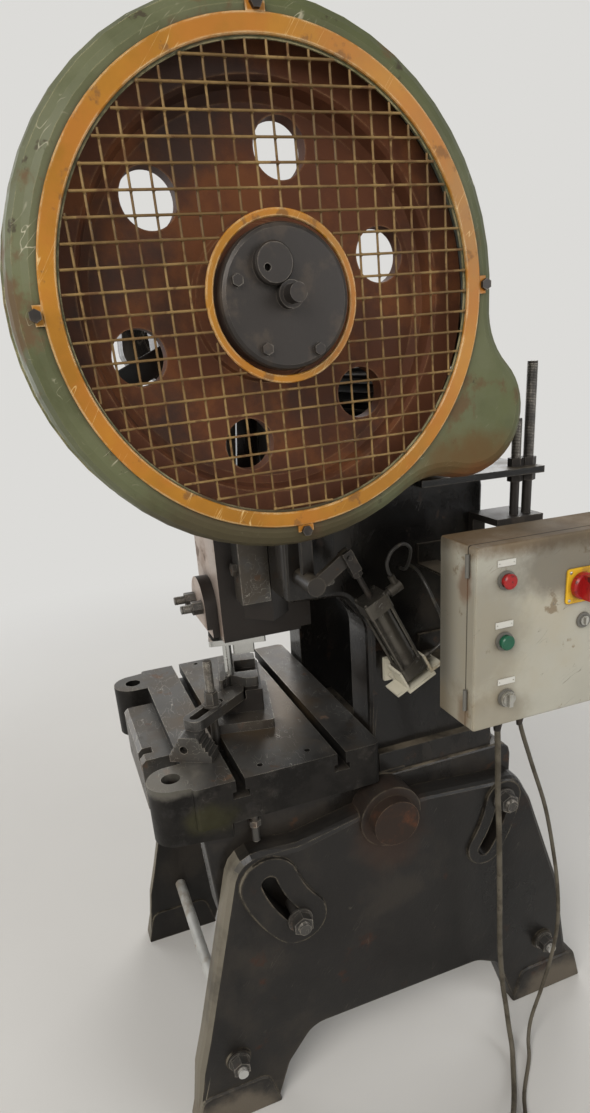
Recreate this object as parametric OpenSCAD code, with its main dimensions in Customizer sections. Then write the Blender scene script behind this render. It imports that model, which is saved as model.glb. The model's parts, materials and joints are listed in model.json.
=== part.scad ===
// Inclinable open-back mechanical stamping press with flywheel guard, tool set and control cabinet.
// Right is the flywheel side, the front faces -Y, the crank axis lies over y = 0, the floor is z = 0.

/* [Stand] */
// Half the distance between the inner faces of the two legs
stand_half = 262; // [245:1:285]
// Thickness of a leg casting
leg_thick = 44; // [38:1:56]
// Rounding of the front edge of a leg
leg_round = 22; // [8:1:30]
// Height of the leg shoulders
leg_top = 636; // [620:1:640]
// Front toe ahead of the crank axis
toe_front = 262; // [230:1:290]
// Rear toe behind the crank axis
toe_rear = 694; // [650:1:740]
// Length of the front foot on the floor
foot_front_len = 177; // [140:1:200]
// Length of the rear foot on the floor
foot_rear_len = 189; // [150:1:210]
// Height of the arch between the feet
arch_height = 167; // [140:1:190]
// Height of the thicker foot pads
foot_pad_height = 88; // [60:1:110]
// Diameter of the lower tie rods
tie_rod_d = 26; // [20:1:32]
// Height of the tie rods above the floor
tie_rod_z = 162; // [140:1:175]

/* [Tilt] */
// Height of the trunnion the frame tilts on
trunnion_z = 629; // [620:1:640]
// Trunnion behind the crank axis
trunnion_y = 190; // [180:1:200]
// Trunnion pin diameter
trunnion_d = 94; // [80:1:100]
// Radius from the trunnion to the clamp bolts
tilt_radius = 262; // [256:1:266]
// Angle of the front clamp bolt at the upright setting
front_bolt_angle = 220; // [217:1:222]
// Angle of the rear clamp bolt at the upright setting
rear_bolt_angle = -8.5; // [-10:0.5:-6]
// How far the frame leans back
tilt_range = 25; // [20:1:25]
// Clamp bolt diameter
tilt_bolt_d = 24; // [20:1:27]

/* [Frame] */
// Outer faces of the upper cheeks inside the inner faces of the legs
cheek_step = 27; // [20:1:34]
// Thickness of an upper cheek
cheek_thick = 85; // [75:1:90]
// Front face of the throat behind the crank axis
throat_y = 190; // [185:1:205]
// Rear face of the column
column_rear = 432; // [425:1:445]
// Underside of the head above the throat
head_z = 1066; // [1058:1:1080]
// Front face of the head
head_front = 38; // [34:1:44]
// Height of the crankshaft centre
crank_z = 1530; // [1522:1:1538]
// Outer radius of the bearing housings
housing_r = 92; // [86:1:98]

/* [Bed] */
// Height of the bed surface
bed_z = 780; // [776:1:784]
// Thickness of the bolster
bed_thick = 85; // [80:1:90]
// Sides of the bolster inside the outer faces of the legs
bed_inset = 21; // [11:1:31]
// Front edge ahead of the crank axis
bed_front = 174; // [168:1:180]
// Ear centre to the side of the middle
ear_x = 226; // [218:1:234]
// Ear centre ahead of the crank axis
ear_y = 201; // [196:1:206]
// Ear radius
ear_r = 43; // [40:1:46]
// Ear hole diameter
ear_hole_d = 34; // [30:1:38]
// How far the ears reach below the bolster
ear_drop = 29; // [20:1:34]
// T-slot mouth width
slot_w = 17; // [15:0.5:19]
// Front T-slot ahead of the crank axis
slot_front = 90; // [86:1:94]
// Rear T-slot behind the crank axis
slot_rear = 104; // [98:1:110]

/* [Ram] */
// Guide way between the ridges of the ram and the cheek
ram_room = 24; // [20:1:28]
// Front face ahead of the crank axis
ram_front = 45; // [43:1:52]
// Ram depth, front to back
ram_depth = 180; // [172:1:188]
// Height of the open space between ram and bed
daylight = 175; // [170:1:182]
// Ram height
ram_height = 335; // [325:1:345]
// How far the guide ridges stand out
ridge = 42; // [36:1:46]
// Ram stroke
stroke = 30; // [24:1:32]
// Clearance of the guide faces
guide_gap = 0.3; // [0.2:0.05:0.5]
// Diameter of the ball screw under the connecting rod
ball_screw_d = 30; // [26:1:32]
// Diameter of the ball
ball_d = 44; // [40:1:46]

/* [Crankshaft] */
// Main journal diameter
journal_d = 90; // [84:1:94]
// Crank pin diameter
pin_d = 104; // [98:1:108]
// Half length of the crank pin
pin_half = 50; // [46:1:54]
// Crank web thickness
web_thick = 44; // [38:1:48]
// Diameter of the shaft inside the flywheel
fly_journal_d = 80; // [74:1:84]
// How far the clutch cap stands out of the guard face
cap_out = 16; // [14:1:20]
// Clutch cap radius
cap_r = 83; // [78:1:85]
// Shaft end beyond the clutch cap
stud_len = 36; // [28:1:42]

/* [Flywheel] */
// Flywheel rim radius
fly_r = 285; // [280:1:287]
// Inner radius of the rim
rim_in = 238; // [230:1:244]
// Room between the cheek and the back face of the rim
rim_gap = 75; // [73:1:79]
// Rim width
rim_w = 76; // [70:1:77]
// Web thickness
fly_web = 26; // [20:1:32]
// Front face of the web behind the front of the rim
web_set = 36; // [30:1:40]
// Lightening hole diameter
fly_hole_d = 70; // [64:1:76]
// Pitch radius of the lightening holes
fly_hole_pcr = 182; // [176:1:188]
// Angle of the first lightening hole
fly_hole_angle = 78.5; // [70:0.5:90]

/* [Guard] */
// Room between the flywheel rim and the guard drum
guard_gap = 34; // [29:1:39]
// Sheet thickness
guard_sheet = 2.5; // [2:0.5:3.5]
// How far the guard reaches behind the rim
guard_lap = 17; // [13:1:19]
// Depth of the guard from its back edge to its face
guard_depth = 133; // [131:1:135]
// Rounding inset where the side turns into the face
guard_turn = 26; // [20:1:30]
// Radius of the motor lobe
lobe_r = 97; // [92:1:102]
// Fillet between the drum and the lobe
lobe_fillet = 95; // [70:1:120]
// Width of the yellow ring
ring_w = 20.1; // [18:0.1:22]
// Flat edge of the guard face left outside the yellow ring
ring_edge = 8.4; // [7:0.2:10]
// Thickness of the rings
ring_t = 4.5; // [3:0.5:6]
// Inner radius of the small ring
eye_in = 89; // [87:1:92]
// Outer radius of the small ring
eye_out = 98.5; // [96:0.5:102]
// Wire pitch
mesh_pitch = 25; // [20:1:32]
// Wire diameter
wire_d = 3; // [2:0.5:4]
// Turn of the grille on the guard
grille_turn = 2; // [0:0.5:4]

/* [Motor] */
// Motor shaft behind the rear of the flywheel rim
motor_back = 0; // [-3:1:5]
// Motor shaft below the crank axis
motor_dz = 157; // [152:1:162]
// Motor body radius
motor_r = 88; // [82:1:94]
// Motor body length
motor_len = 250; // [230:1:262]
// Height of the motor shaft over its plate
motor_shaft_h = 108; // [104:1:114]
// Motor pulley radius
pulley_r = 34; // [31:1:35]
// Belt width
belt_w = 13; // [11:1:14]
// Belt thickness
belt_t = 7; // [6:0.5:8]
// Distance between the two belts
belt_pitch = 19; // [17:1:21]

/* [Tool set] */
// Turn of the tool set on the bed
die_turn = -13; // [-16:1:-8]
// Thickness of the tool base plate
die_base_t = 20; // [16:1:24]
// Width of the tool base plate
die_base_w = 190; // [176:1:200]
// Depth of the tool base plate
die_base_d = 120; // [112:1:130]
// Height of the die block
die_block_h = 48; // [40:1:52]
// Thickness of the stripper plate
stripper_t = 20; // [16:1:24]
// Guide pin diameter
guide_pin_d = 18; // [16:1:22]
// Strap clamp length
strap_len = 168; // [150:1:176]
// Strap clamp width
strap_w = 42; // [38:1:46]
// Strap clamp thickness
strap_t = 20; // [16:1:22]
// Clamp stud diameter
clamp_stud_d = 16; // [12:1:16]
// Step block height
step_h = 50; // [46:1:50]
// Step block length
step_len = 81; // [74:1:90]
// Step block depth
step_w = 40; // [34:1:44]

/* [Air cylinder] */
// Middle of the cylinder outside the cheek
air_out = 65; // [61:1:71]
// Barrel radius
air_r = 19; // [16:1:20]
// Barrel length between the heads
air_len = 119; // [108:1:126]
// Lean of the cylinder towards the front
air_lean = 27; // [25:1:29]
// Clutch lever length from its pivot to the rod end
lever_len = 72; // [68:1:80]
// Rod diameter
air_rod_d = 10; // [8:1:12]
// Rod travel
air_travel = 20; // [14:1:22]

/* [Cabinet] */
// Cabinet width, front to back
cab_w = 300; // [290:1:310]
// Cabinet height
cab_h = 305; // [295:1:315]
// Cabinet depth without the door
cab_d = 78; // [72:1:84]
// Back face of the cabinet outside the cheek
cab_out = 150; // [148:1:155]
// Front edge of the cabinet behind the crank axis
cab_y = 252; // [248:1:256]
// Underside of the cabinet
cab_z = 882; // [872:1:890]
// Sheet thickness of the cabinet
cab_sheet = 2.5; // [2:0.5:3]
// Length of the cable glands under the cabinet
gland_len = 14; // [10:1:18]
// Door thickness
door_t = 22; // [18:1:24]
// Push button cap diameter
button_d = 24; // [20:1:26]
// Switch plate edge length
switch_plate = 58; // [50:1:64]

/* [Hidden] */
$fn = 64;
fit = 0.3;
run = 0.06;
eps = 0.01;
place_x = -85;
place_y = -187.55;
leg_out = stand_half + leg_thick;
cheek_out = stand_half - cheek_step;
cheek_in = cheek_out - cheek_thick;
bed_half = leg_out - bed_inset;
flank_out = stand_half - 0.4;
flank_in = cheek_out - 35;
table_z = bed_z - bed_thick;
trunnion_r = trunnion_d / 2;
boss_wall = 17;
pad_t = 6;
slot_half = tilt_bolt_d / 2 + 3;
front_pad_half = 56;
rear_pad_half = 42;
nut_h = 19;
nut_af = 36;
washer_t = 4;
ram_z = bed_z + daylight;
ram_top = ram_z + ram_height;
ram_mid = ram_depth / 2 - ram_front;
ram_half = cheek_in - ridge - ram_room;
ridge_z = ram_z + 45;
crank_throw = stroke / 2;
pin_z = crank_z + crank_throw;
ball_z = ram_top - 62;
rod_r = pin_d / 2 + 24;
rim_x = cheek_out + rim_gap;
guard_r = fly_r + guard_gap;
guard_back = rim_x - guard_lap;
guard_front = guard_back + guard_depth;
ring_out = guard_r - guard_turn - ring_edge;
ring_in = ring_out - ring_w;
cap_x = guard_front + cap_out;
hub_back = rim_x + rim_w - web_set - fly_web - 28;
web_front = rim_x + rim_w - web_set;
clutch_back = web_front + 12;
eye_x = guard_front + fit;
motor_dy = fly_r + motor_back;
motor_y = motor_dy;
motor_z = crank_z - motor_dz;
centre_gap = norm([motor_dy, motor_dz]);
pulley_x = rim_x + rim_w / 2;
plate_z = motor_z - motor_shaft_h;
shoulder_z = plate_z - 12;
strip_z = bed_z + die_base_t + die_block_h;
upper_z = ram_z - 12;
air_x = cheek_out + air_out;
air_dir = [-sin(air_lean), cos(air_lean)];
air_foot = [243, 923];
pin_out = air_len + 139;
pin_at = air_foot + air_dir * pin_out;
lever_angle = air_lean + 8;
lever_pivot = pin_at - lever_len * [cos(lever_angle), sin(lever_angle)];
cab_x = cheek_out + cab_out;
door_x = cab_x + cab_d + fit;
face_x = door_x + door_t;
tie_front_y = -162;
tie_rear_y = 577;

// Arc points about a centre, from one angle to another
function arc(c, r, a, b, n) = [for (i = [0 : n]) let (t = a + (b - a) * i / n) c + r * [cos(t), sin(t)]];

// The same arc without its two ends
function inner_arc(c, r, a, b, n) = [for (i = [1 : n - 1]) let (t = a + (b - a) * i / n) c + r * [cos(t), sin(t)]];

// One rounded corner of an outline
function corner(a, b, c, r, n) =
    let (u = (a - b) / norm(a - b), w = (c - b) / norm(c - b), half = acos(u * w) / 2)
    let (d = min(r / tan(half), 0.47 * min(norm(a - b), norm(c - b))), rr = d * tan(half))
    let (m = b + (u + w) / norm(u + w) * rr / sin(half), p = b + u * d - m, q = b + w * d - m)
    let (way = sign(p.x * q.y - p.y * q.x), turn = 180 - 2 * half)
    [for (i = [0 : n]) let (t = way * turn * i / n) m + [p.x * cos(t) - p.y * sin(t), p.x * sin(t) + p.y * cos(t)]];

// Outline with rounded corners; each entry is a point, its radius and its edge weight
function outline(list, n = 4) =
    let (k = len(list))
    [for (i = [0 : k - 1]) each corner(list[(i + k - 1) % k][0], list[i][0], list[(i + 1) % k][0], list[i][1], n)];
function weights(list, r, n = 4) = [for (e = list) for (i = [0 : n]) min(e[2], e[1] / (1.5 * r))];

// The same outline moved inward by a distance of its own at each point
function inset(pts, d, w) =
    let (k = len(pts))
    [for (i = [0 : k - 1])
        let (a = pts[(i + k - 1) % k], b = pts[i], c = pts[(i + 1) % k])
        let (u = (b - a) / norm(b - a), v = (c - b) / norm(c - b))
        let (n1 = [-u.y, u.x], n2 = [-v.y, v.x])
        b + (n1 + n2) / (1 + n1 * n2) * d * w[i]];

// Triangles that fill a counter-clockwise outline, cut off one ear at a time
function turn(a, b, c) = (b.x - a.x) * (c.y - a.y) - (b.y - a.y) * (c.x - a.x);
function holds(a, b, c, p) = turn(a, b, p) >= 0 && turn(b, c, p) >= 0 && turn(c, a, p) >= 0;
function is_ear(pts, left, i) =
    let (n = len(left), a = left[(i + n - 1) % n], b = left[i % n], c = left[(i + 1) % n])
    turn(pts[a], pts[b], pts[c]) > 0.001 &&
    len([for (j = left) if (j != a && j != b && j != c && holds(pts[a], pts[b], pts[c], pts[j])) 1]) == 0;
function next_ear(pts, left, i) = is_ear(pts, left, i) ? i % len(left) : next_ear(pts, left, i + 1);
function ears(pts, left, i = 0) =
    len(left) == 3 ? [left] :
    let (n = len(left), e = next_ear(pts, left, i))
    concat([[left[(e + n - 1) % n], left[e], left[(e + 1) % n]]],
        ears(pts, [for (j = [0 : n - 1]) if (j != e) left[j]], e + 1));

// Skin between equal rings of points along X, closed at both ends
module skin(rings, xs) {
    k = len(rings[0]);
    m = len(rings);
    pts = [for (j = [0 : m - 1]) for (p = rings[j]) [xs[j], p.x, p.y]];
    sides = [for (j = [0 : m - 2]) for (i = [0 : k - 1])
        let (a = j * k + i, b = j * k + (i + 1) % k, c = a + k, d = b + k) each [[a, c, b], [b, c, d]]];
    low = ears(rings[0], [for (i = [0 : k - 1]) i]);
    high = [for (t = ears(rings[m - 1], [for (i = [0 : k - 1]) i])) (m - 1) * k * [1, 1, 1] + [t[2], t[1], t[0]]];
    polyhedron(points = pts, faces = concat(sides, low, high), convexity = 10);
}

// Plate along X from a list of corners, its outer edge rounded by r
module rounded_plate(list, x0, x1, r, n = 4, steps = 3) {
    pts = outline(list, n);
    w = weights(list, r, n);
    rings = concat([pts], [for (j = [0 : steps]) inset(pts, r * (1 - cos(90 * j / steps)), w)]);
    skin(rings, concat([x0], [for (j = [0 : steps]) x1 - r + r * sin(90 * j / steps)]));
}

module along_x(x0, x1) translate([x0, 0, 0]) rotate([90, 0, 90]) linear_extrude(x1 - x0) children();
module bar_x(x0, x1, r, y, z, n = 48) translate([x0, y, z]) rotate([0, 90, 0]) cylinder(h = x1 - x0, r = r, $fn = n);
module bar_y(y0, y1, r, x, z, n = 48) translate([x, y1, z]) rotate([90, 0, 0]) cylinder(h = y1 - y0, r = r, $fn = n);
module bar_z(z0, z1, r, x, y, n = 48) translate([x, y, z0]) cylinder(h = z1 - z0, r = r, $fn = n);
module block(lo, hi) translate(lo) cube(hi - lo);
module both() {
    children();
    mirror([1, 0, 0]) children();
}
module hex_x(x0, x1, af, y, z) bar_x(x0, x1, af / sqrt(3), y, z, 6);
module hex_y(y0, y1, af, x, z) bar_y(y0, y1, af / sqrt(3), x, z, 6);
module hex_z(z0, z1, af, x, y) bar_z(z0, z1, af / sqrt(3), x, y, 6);
module turned_x(y, z, n = 64) translate([0, y, z]) rotate([0, 90, 0]) rotate([0, 0, 180]) rotate_extrude($fn = n) children();
module box_round(lo, hi, r) {
    d = hi - lo;
    translate(lo) linear_extrude(d.z) polygon(outline([[[0, 0], r, 1], [[d.x, 0], r, 1], [[d.x, d.y], r, 1], [[0, d.y], r, 1]]));
}

// Arc shaped slot or pad about the trunnion, as a prism along X
module tilt_arc(x0, x1, a0, a1, half) {
    c = [trunnion_y, trunnion_z];
    n = ceil((a1 - a0) / 3);
    along_x(x0, x1) polygon(concat(
        arc(c, tilt_radius + half, a0, a1, n), inner_arc(tilt_point(a1), half, a1, a1 + 180, 12),
        arc(c, tilt_radius - half, a1, a0, n), inner_arc(tilt_point(a0), half, a0 + 180, a0 + 360, 12)));
}
function tilt_point(a) = [trunnion_y + tilt_radius * cos(a), trunnion_z + tilt_radius * sin(a)];

// Leg outline in the Y-Z plane, counter-clockwise seen from the right
leg_shape = [
    [[-toe_front, 0], 8, 1], [[foot_front_len - toe_front, 0], 8, 0.3],
    [[foot_front_len - toe_front + 32, 92], 60, 0.3], [[4, arch_height], 48, 0.3],
    [[toe_rear - foot_rear_len - 104, arch_height - 2], 60, 0.3],
    [[toe_rear - foot_rear_len - 50, arch_height - 32], 30, 0.3],
    [[toe_rear - foot_rear_len, 0], 8, 0.3], [[toe_rear, 0], 8, 0.6],
    [[toe_rear - 32, 78], 40, 0.6], [[toe_rear - 78, 321], 120, 0.6],
    [[toe_rear - 166, leg_top - 74], 40, 0.5], [[toe_rear - 204, leg_top - 4], 44, 0.5],
    [[toe_rear - 264, leg_top], 40, 0.5], [[toe_rear - 420, leg_top + 14], 60, 0.5],
    [[trunnion_y - 60, leg_top + 14], 60, 0.5], [[0, leg_top - 10], 60, 0.7],
    [[140 - toe_front, leg_top], 60, 1], [[42 - toe_front, 232], 90, 1],
    [[20 - toe_front, 150], 60, 1]];

module leg() {
    front_end = front_bolt_angle - tilt_range;
    rear_end = rear_bolt_angle - tilt_range;
    f = tilt_point(front_bolt_angle);
    difference() {
        union() {
            rounded_plate(leg_shape, stand_half, leg_out, leg_round);
            tilt_arc(leg_out - 2, leg_out + pad_t, front_end, front_bolt_angle, front_pad_half);
            tilt_arc(leg_out - 2, leg_out + pad_t, rear_end, rear_bolt_angle, rear_pad_half);
            bar_x(stand_half, leg_out + pad_t, trunnion_r + boss_wall, trunnion_y, trunnion_z, 64);
            for (y = [tie_front_y, tie_rear_y]) bar_x(leg_out - 2, leg_out + pad_t, 25, y, tie_rod_z);
            for (e = [[-toe_front - 4, foot_front_len + 8], [toe_rear - foot_rear_len - 4, foot_rear_len + 8]])
                rounded_plate([[[e[0], 0], 4, 0.4], [[e[0] + e[1], 0], 4, 0.4],
                    [[e[0] + e[1] - 22, foot_pad_height], 24, 1], [[e[0] + 22, foot_pad_height], 24, 1]],
                    stand_half - 3, leg_out + 5, 8);
        }
        tilt_arc(stand_half - 1, leg_out + pad_t + 1, front_end - 0.6, front_bolt_angle + 2.5, slot_half);
        tilt_arc(stand_half - 1, leg_out + pad_t + 1, rear_end - 1.2, rear_bolt_angle + 0.6, slot_half);
        bar_x(stand_half - 1, leg_out + pad_t + 1, trunnion_r, trunnion_y, trunnion_z, 64);
        for (y = [tie_front_y, tie_rear_y]) bar_x(stand_half - 4, leg_out + pad_t + 1, tie_rod_d / 2 - 3 + run, y, tie_rod_z);
    }
}

module leg_right() color([0.2, 0.2, 0.2]) leg();
module leg_left() color([0.2, 0.2, 0.2]) mirror([1, 0, 0]) leg();

// Round tie rods with shouldered ends
module tie_rods() color([0.7, 0.7, 0.68])
    for (y = [tie_front_y, tie_rear_y]) {
        bar_x(-stand_half + 3, stand_half - 3, tie_rod_d / 2, y, tie_rod_z);
        both() bar_x(stand_half - 4, leg_out + pad_t + 34, tie_rod_d / 2 - 3, y, tie_rod_z);
    }

module tie_nuts() color([0.5, 0.5, 0.48])
    for (y = [tie_front_y, tie_rear_y]) both()
        difference() {
            union() {
                bar_x(leg_out + pad_t, leg_out + pad_t + washer_t, 22, y, tie_rod_z);
                hex_x(leg_out + pad_t + washer_t - eps, leg_out + pad_t + 24, 32, y, tie_rod_z);
            }
            bar_x(leg_out, leg_out + pad_t + 40, tie_rod_d / 2 - 3 + run, y, tie_rod_z);
        }

// Pins pressed into the legs, the frame turns on their inner ends
module trunnion_pins() color([0.55, 0.3, 0.15]) both() {
    bar_x(flank_in + 4, leg_out + 30, trunnion_r - run / 2, trunnion_y, trunnion_z, 64);
}

// Frame casting: column cheeks, lower flanks, table, head and cross webs in one piece
upper_shape = [
    [[-bed_front + 24, table_z - 50], 10, 1], [[column_rear + 60, table_z - 50], 30, 1],
    [[column_rear + 10, bed_z + 10], 120, 1], [[column_rear, bed_z + 90], 90, 1],
    [[column_rear, shoulder_z], 26, 0.5], [[throat_y + 22, shoulder_z], 40, 0.5],
    [[housing_r + 40, crank_z - 96], 60, 1], [[housing_r + 30, crank_z - 0.5], 6, 0.4],
    [[-housing_r - 30, crank_z - 0.5], 6, 0.4], [[-housing_r - 34, crank_z - 60], 40, 1],
    [[head_front, crank_z - 152], 60, 1], [[head_front, head_z], 8, 0.8],
    [[throat_y - 46, head_z - 8], 30, 1], [[throat_y, head_z - 66], 60, 1],
    [[throat_y, bed_z + 52], 60, 1], [[throat_y - 0.5, table_z + 40], 4, 0.5],
    [[throat_y - 0.5, table_z], 2, 0.2], [[-bed_front + 24, table_z], 8, 0.4]];
flank_shape = [
    [[-bed_front + 22, tilt_point(front_bolt_angle).y + 10], 18, 1],
    [[tilt_point(front_bolt_angle).x - 40, tilt_point(front_bolt_angle).y - 46], 40, 1],
    [[tilt_point(front_bolt_angle).x + 52, tilt_point(front_bolt_angle).y - 40], 40, 1],
    [[trunnion_y + 20, trunnion_z - 110], 90, 1],
    [[tilt_point(rear_bolt_angle).x - 20, tilt_point(rear_bolt_angle).y - 52], 50, 1],
    [[tilt_point(rear_bolt_angle).x + 50, tilt_point(rear_bolt_angle).y - 30], 40, 1],
    [[tilt_point(rear_bolt_angle).x + 50, table_z - 6], 30, 1],
    [[-bed_front + 8, table_z - 6], 12, 0.4]];

module frame_casting() color([0.17, 0.16, 0.15]) difference() {
    union() {
        both() {
            rounded_plate(upper_shape, cheek_in, cheek_out, 14);
            rounded_plate(flank_shape, flank_in, flank_out, 5, 3, 2);
            bar_x(cheek_in - 6, cheek_out + 22, housing_r - 8, 0, crank_z, 64);
            for (a = [front_bolt_angle, rear_bolt_angle])
                bar_x(flank_in - 22, flank_out, 33, tilt_point(a).x, tilt_point(a).y);
            bar_x(flank_in - 20, flank_out, trunnion_r + 19, trunnion_y, trunnion_z, 64);
            block([cheek_out - 4, throat_y + 6, table_z - 30], [flank_out - 8, column_rear + 20, table_z + 40]);
        }
        block([-flank_out + 6, -bed_front + 18, table_z - 52], [flank_out - 6, throat_y + 60, table_z]);
        block([-cheek_in - 1, ram_mid + ram_depth / 2 + 6, head_z + 2], [cheek_in + 1, throat_y + 30, shoulder_z - 4]);
        block([-cheek_in - 1, ram_mid + ram_depth / 2 + 6, shoulder_z - 40], [cheek_in + 1, throat_y - 6, crank_z - 130]);
        block([-cheek_in - 1, column_rear - 40, head_z + 60], [cheek_in + 1, column_rear - 6, shoulder_z - 4]);
        block([-cheek_in - 1, throat_y + 20, shoulder_z - 34], [cheek_in + 1, column_rear - 6, shoulder_z - 4]);
        block([-flank_in - 1, trunnion_y + 40, trunnion_z - 96], [flank_in + 1, trunnion_y + 74, table_z]);
        block([-cheek_in - 1, column_rear - 34, table_z - 60], [cheek_in + 1, column_rear + 2, bed_z + 20]);
    }
    both() {
        bar_x(flank_in - 30, stand_half, trunnion_r + run, trunnion_y, trunnion_z, 64);
        for (a = [front_bolt_angle, rear_bolt_angle])
            bar_x(flank_in - 30, stand_half, tilt_bolt_d / 2 + run, tilt_point(a).x, tilt_point(a).y);
    }
    bar_x(-cheek_out - 30, cheek_out + 30, journal_d / 2 + 8 + run, 0, crank_z, 64);
    block([-cheek_out - 40, -housing_r - 60, crank_z - 0.5], [cheek_out + 40, housing_r + 60, crank_z + housing_r + 20]);
    both() gib_seat();
    block([-110, -70, table_z - 60], [110, 110, table_z + 1]);
    both() translate([0, 0, table_z - ear_drop - fit]) linear_extrude(ear_drop + 1) polygon([
        [ear_x - ear_r - 0.5, -ear_y], [bed_half + 20, -ear_y], [bed_half + 20, 68.5 - bed_front],
        [bed_half - 24.5, 68.5 - bed_front], [ear_x - ear_r - 0.5, 1 - bed_front]]);
}

// Room in a cheek for the ram ridge and its gib
module gib_seat() {
    translate([0, 0, head_z - 20]) linear_extrude(crank_z - 152 - head_z + 60)
        polygon([[cheek_in - 8, ram_mid - 64], [cheek_in - 8 + eps, ram_mid + 64],
            [cheek_in - 20, ram_mid + 64], [cheek_in - 20, ram_mid - 64]]);
}

// Bolster with T-slots, lugs at the front and bolt holes
module bolster() color([0.62, 0.6, 0.55]) difference() {
    union() {
        translate([0, 0, table_z]) linear_extrude(bed_thick) polygon(outline([
            [[-bed_half, -bed_front], 8, 1], [[bed_half, -bed_front], 8, 1],
            [[bed_half, throat_y - 6], 14, 1], [[-bed_half, throat_y - 6], 14, 1]]));
        both() {
            bar_z(table_z - ear_drop, bed_z, ear_r, ear_x, -ear_y, 64);
            translate([0, 0, table_z - ear_drop]) linear_extrude(bed_thick + ear_drop) polygon([
                [ear_x - ear_r, -ear_y], [ear_x - ear_r + 8, -ear_y - 8], [ear_x + ear_r - 4, -ear_y - 16],
                [ear_x + ear_r, -ear_y], [bed_half, -bed_front + 62], [bed_half - 24, -bed_front + 68],
                [ear_x - ear_r, -bed_front + 0.5]]);
        }
    }
    for (y = [-slot_front, slot_rear]) {
        block([-bed_half - 1, y - slot_w / 2, bed_z - 24], [bed_half + 1, y + slot_w / 2, bed_z + 1]);
        block([-bed_half - 1, y - slot_w / 2 - 7, bed_z - 37], [bed_half + 1, y + slot_w / 2 + 7, bed_z - 23]);
    }
    both() bar_z(table_z - ear_drop - 1, bed_z + 1, ear_hole_d / 2, ear_x, -ear_y, 64);
    for (p = [[-280 + 14, -44], [246, 51], [254, -44], [-246, 51]]) bar_z(table_z - 1, bed_z + 1, 5.5, p.x, p.y, 32);
    bar_z(table_z - 1, bed_z + 1, 45, 0, 10, 64);
}

// Upper halves of the two main bearings
module bearing_caps() color([0.2, 0.19, 0.18]) both() difference() {
    union() {
        bar_x(cheek_in + 2, cheek_out + 14, housing_r, 0, crank_z, 64);
        block([cheek_in + 6, -housing_r - 28, crank_z], [cheek_out - 6, housing_r + 28, crank_z + 30]);
        bar_z(crank_z + housing_r - 6, crank_z + housing_r + 10, 12, (cheek_in + cheek_out) / 2, 0);
    }
    block([cheek_in - 20, -housing_r - 60, crank_z - housing_r - 20], [cheek_out + 40, housing_r + 60, crank_z]);
    bar_x(cheek_in - 20, cheek_out + 40, journal_d / 2 + 8 + run, 0, crank_z, 64);
}

module cap_bolts() color([0.45, 0.44, 0.42]) both()
    for (y = [-housing_r - 14, housing_r + 14]) for (x = [cheek_in + 24, cheek_out - 24]) {
        bar_z(crank_z + 30, crank_z + 33, 13, x, y);
        hex_z(crank_z + 33 - eps, crank_z + 44, 22, x, y);
    }

// Flanged bronze bushes of the main bearings
module bearing_bushes() color([0.7, 0.5, 0.25]) both() difference() {
    union() {
        bar_x(cheek_in - 6, cheek_out + 28, journal_d / 2 + 8, 0, crank_z, 64);
        bar_x(cheek_out + 22.3, cheek_out + 28, journal_d / 2 + 14, 0, crank_z, 64);
    }
    bar_x(cheek_in - 20, cheek_out + 40, journal_d / 2 + run, 0, crank_z, 64);
}

// Guide ways in pairs, cut to the ridge of the ram
module gibs() color([0.75, 0.73, 0.68]) both() {
    g = guide_gap;
    tip = ram_half + ridge;
    translate([0, 0, head_z - 24]) linear_extrude(crank_z - 152 - head_z + 24) polygon([
        [ram_half + g, ram_mid - 58], [cheek_in - 20 - fit, ram_mid - 58], [cheek_in - 20 - fit, ram_mid - 3],
        [tip + g, ram_mid - g * 1.4 - 0.5], [ram_half + g, ram_mid - 45 - g * 1.4]]);
    translate([0, 0, head_z - 4]) linear_extrude(crank_z - 152 - head_z + 4) polygon([
        [ram_half + g, ram_mid + 45 + g * 1.4], [tip + g, ram_mid + g * 1.4 + 0.5], [cheek_in - 20 - fit, ram_mid + 3],
        [cheek_in - 20 - fit, ram_depth / 2 + ram_mid + 6 - fit], [ram_half + g, ram_depth / 2 + ram_mid + 6 - fit]]);
}

// Screws through the front guide ways and adjusting screws in the cheek sides
module gib_screws() color([0.6, 0.58, 0.55]) both() {
    for (z = [head_z + 40, head_z + 150, head_z + 260])
        hex_y(ram_mid - 58 - fit - 9, ram_mid - 58 - fit, 22, (ram_half + cheek_in - 20) / 2, z);
    for (z = [head_z + 34, head_z + 144]) {
        hex_x(cheek_out + fit, cheek_out + 9, 19, throat_y - 76, z);
        bar_x(cheek_out + 9 - eps, cheek_out + 22, 5, throat_y - 76, z, 24);
    }
}

// Guide block in front of the bed with a notch at one end
module apron_block() color([0.58, 0.56, 0.5]) difference() {
    translate([0, -bed_front - fit, 0]) {
        block([-141, -62, bed_z - 20 - 46], [106, 0, bed_z - 20]);
        block([-141, -62, bed_z - 128], [106, -46, bed_z - 60]);
    }
    block([56, -bed_front - 66, bed_z - 44], [80, -bed_front - 36, bed_z - 10]);
    for (x = [-100, 60]) bar_y(-bed_front - 70, -bed_front + 4, 7, x, bed_z - 100, 32);
    translate([-141, -bed_front - 62, bed_z - 20]) rotate([0, 90, 0]) translate([0, 0, -1])
        linear_extrude(249) polygon([[-1, -1], [9, -1], [-1, 9]]);
}

// Clamp bolts of the tilt slots
module tilt_bolts() color([0.5, 0.48, 0.45]) both()
    for (a = [front_bolt_angle, rear_bolt_angle]) {
        p = tilt_point(a);
        bar_x(flank_in - 22, leg_out + pad_t + washer_t + nut_h + 9, tilt_bolt_d / 2, p.x, p.y);
        hex_x(flank_in - 22 - fit - 15, flank_in - 22 - fit, nut_af, p.x, p.y);
    }

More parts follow.
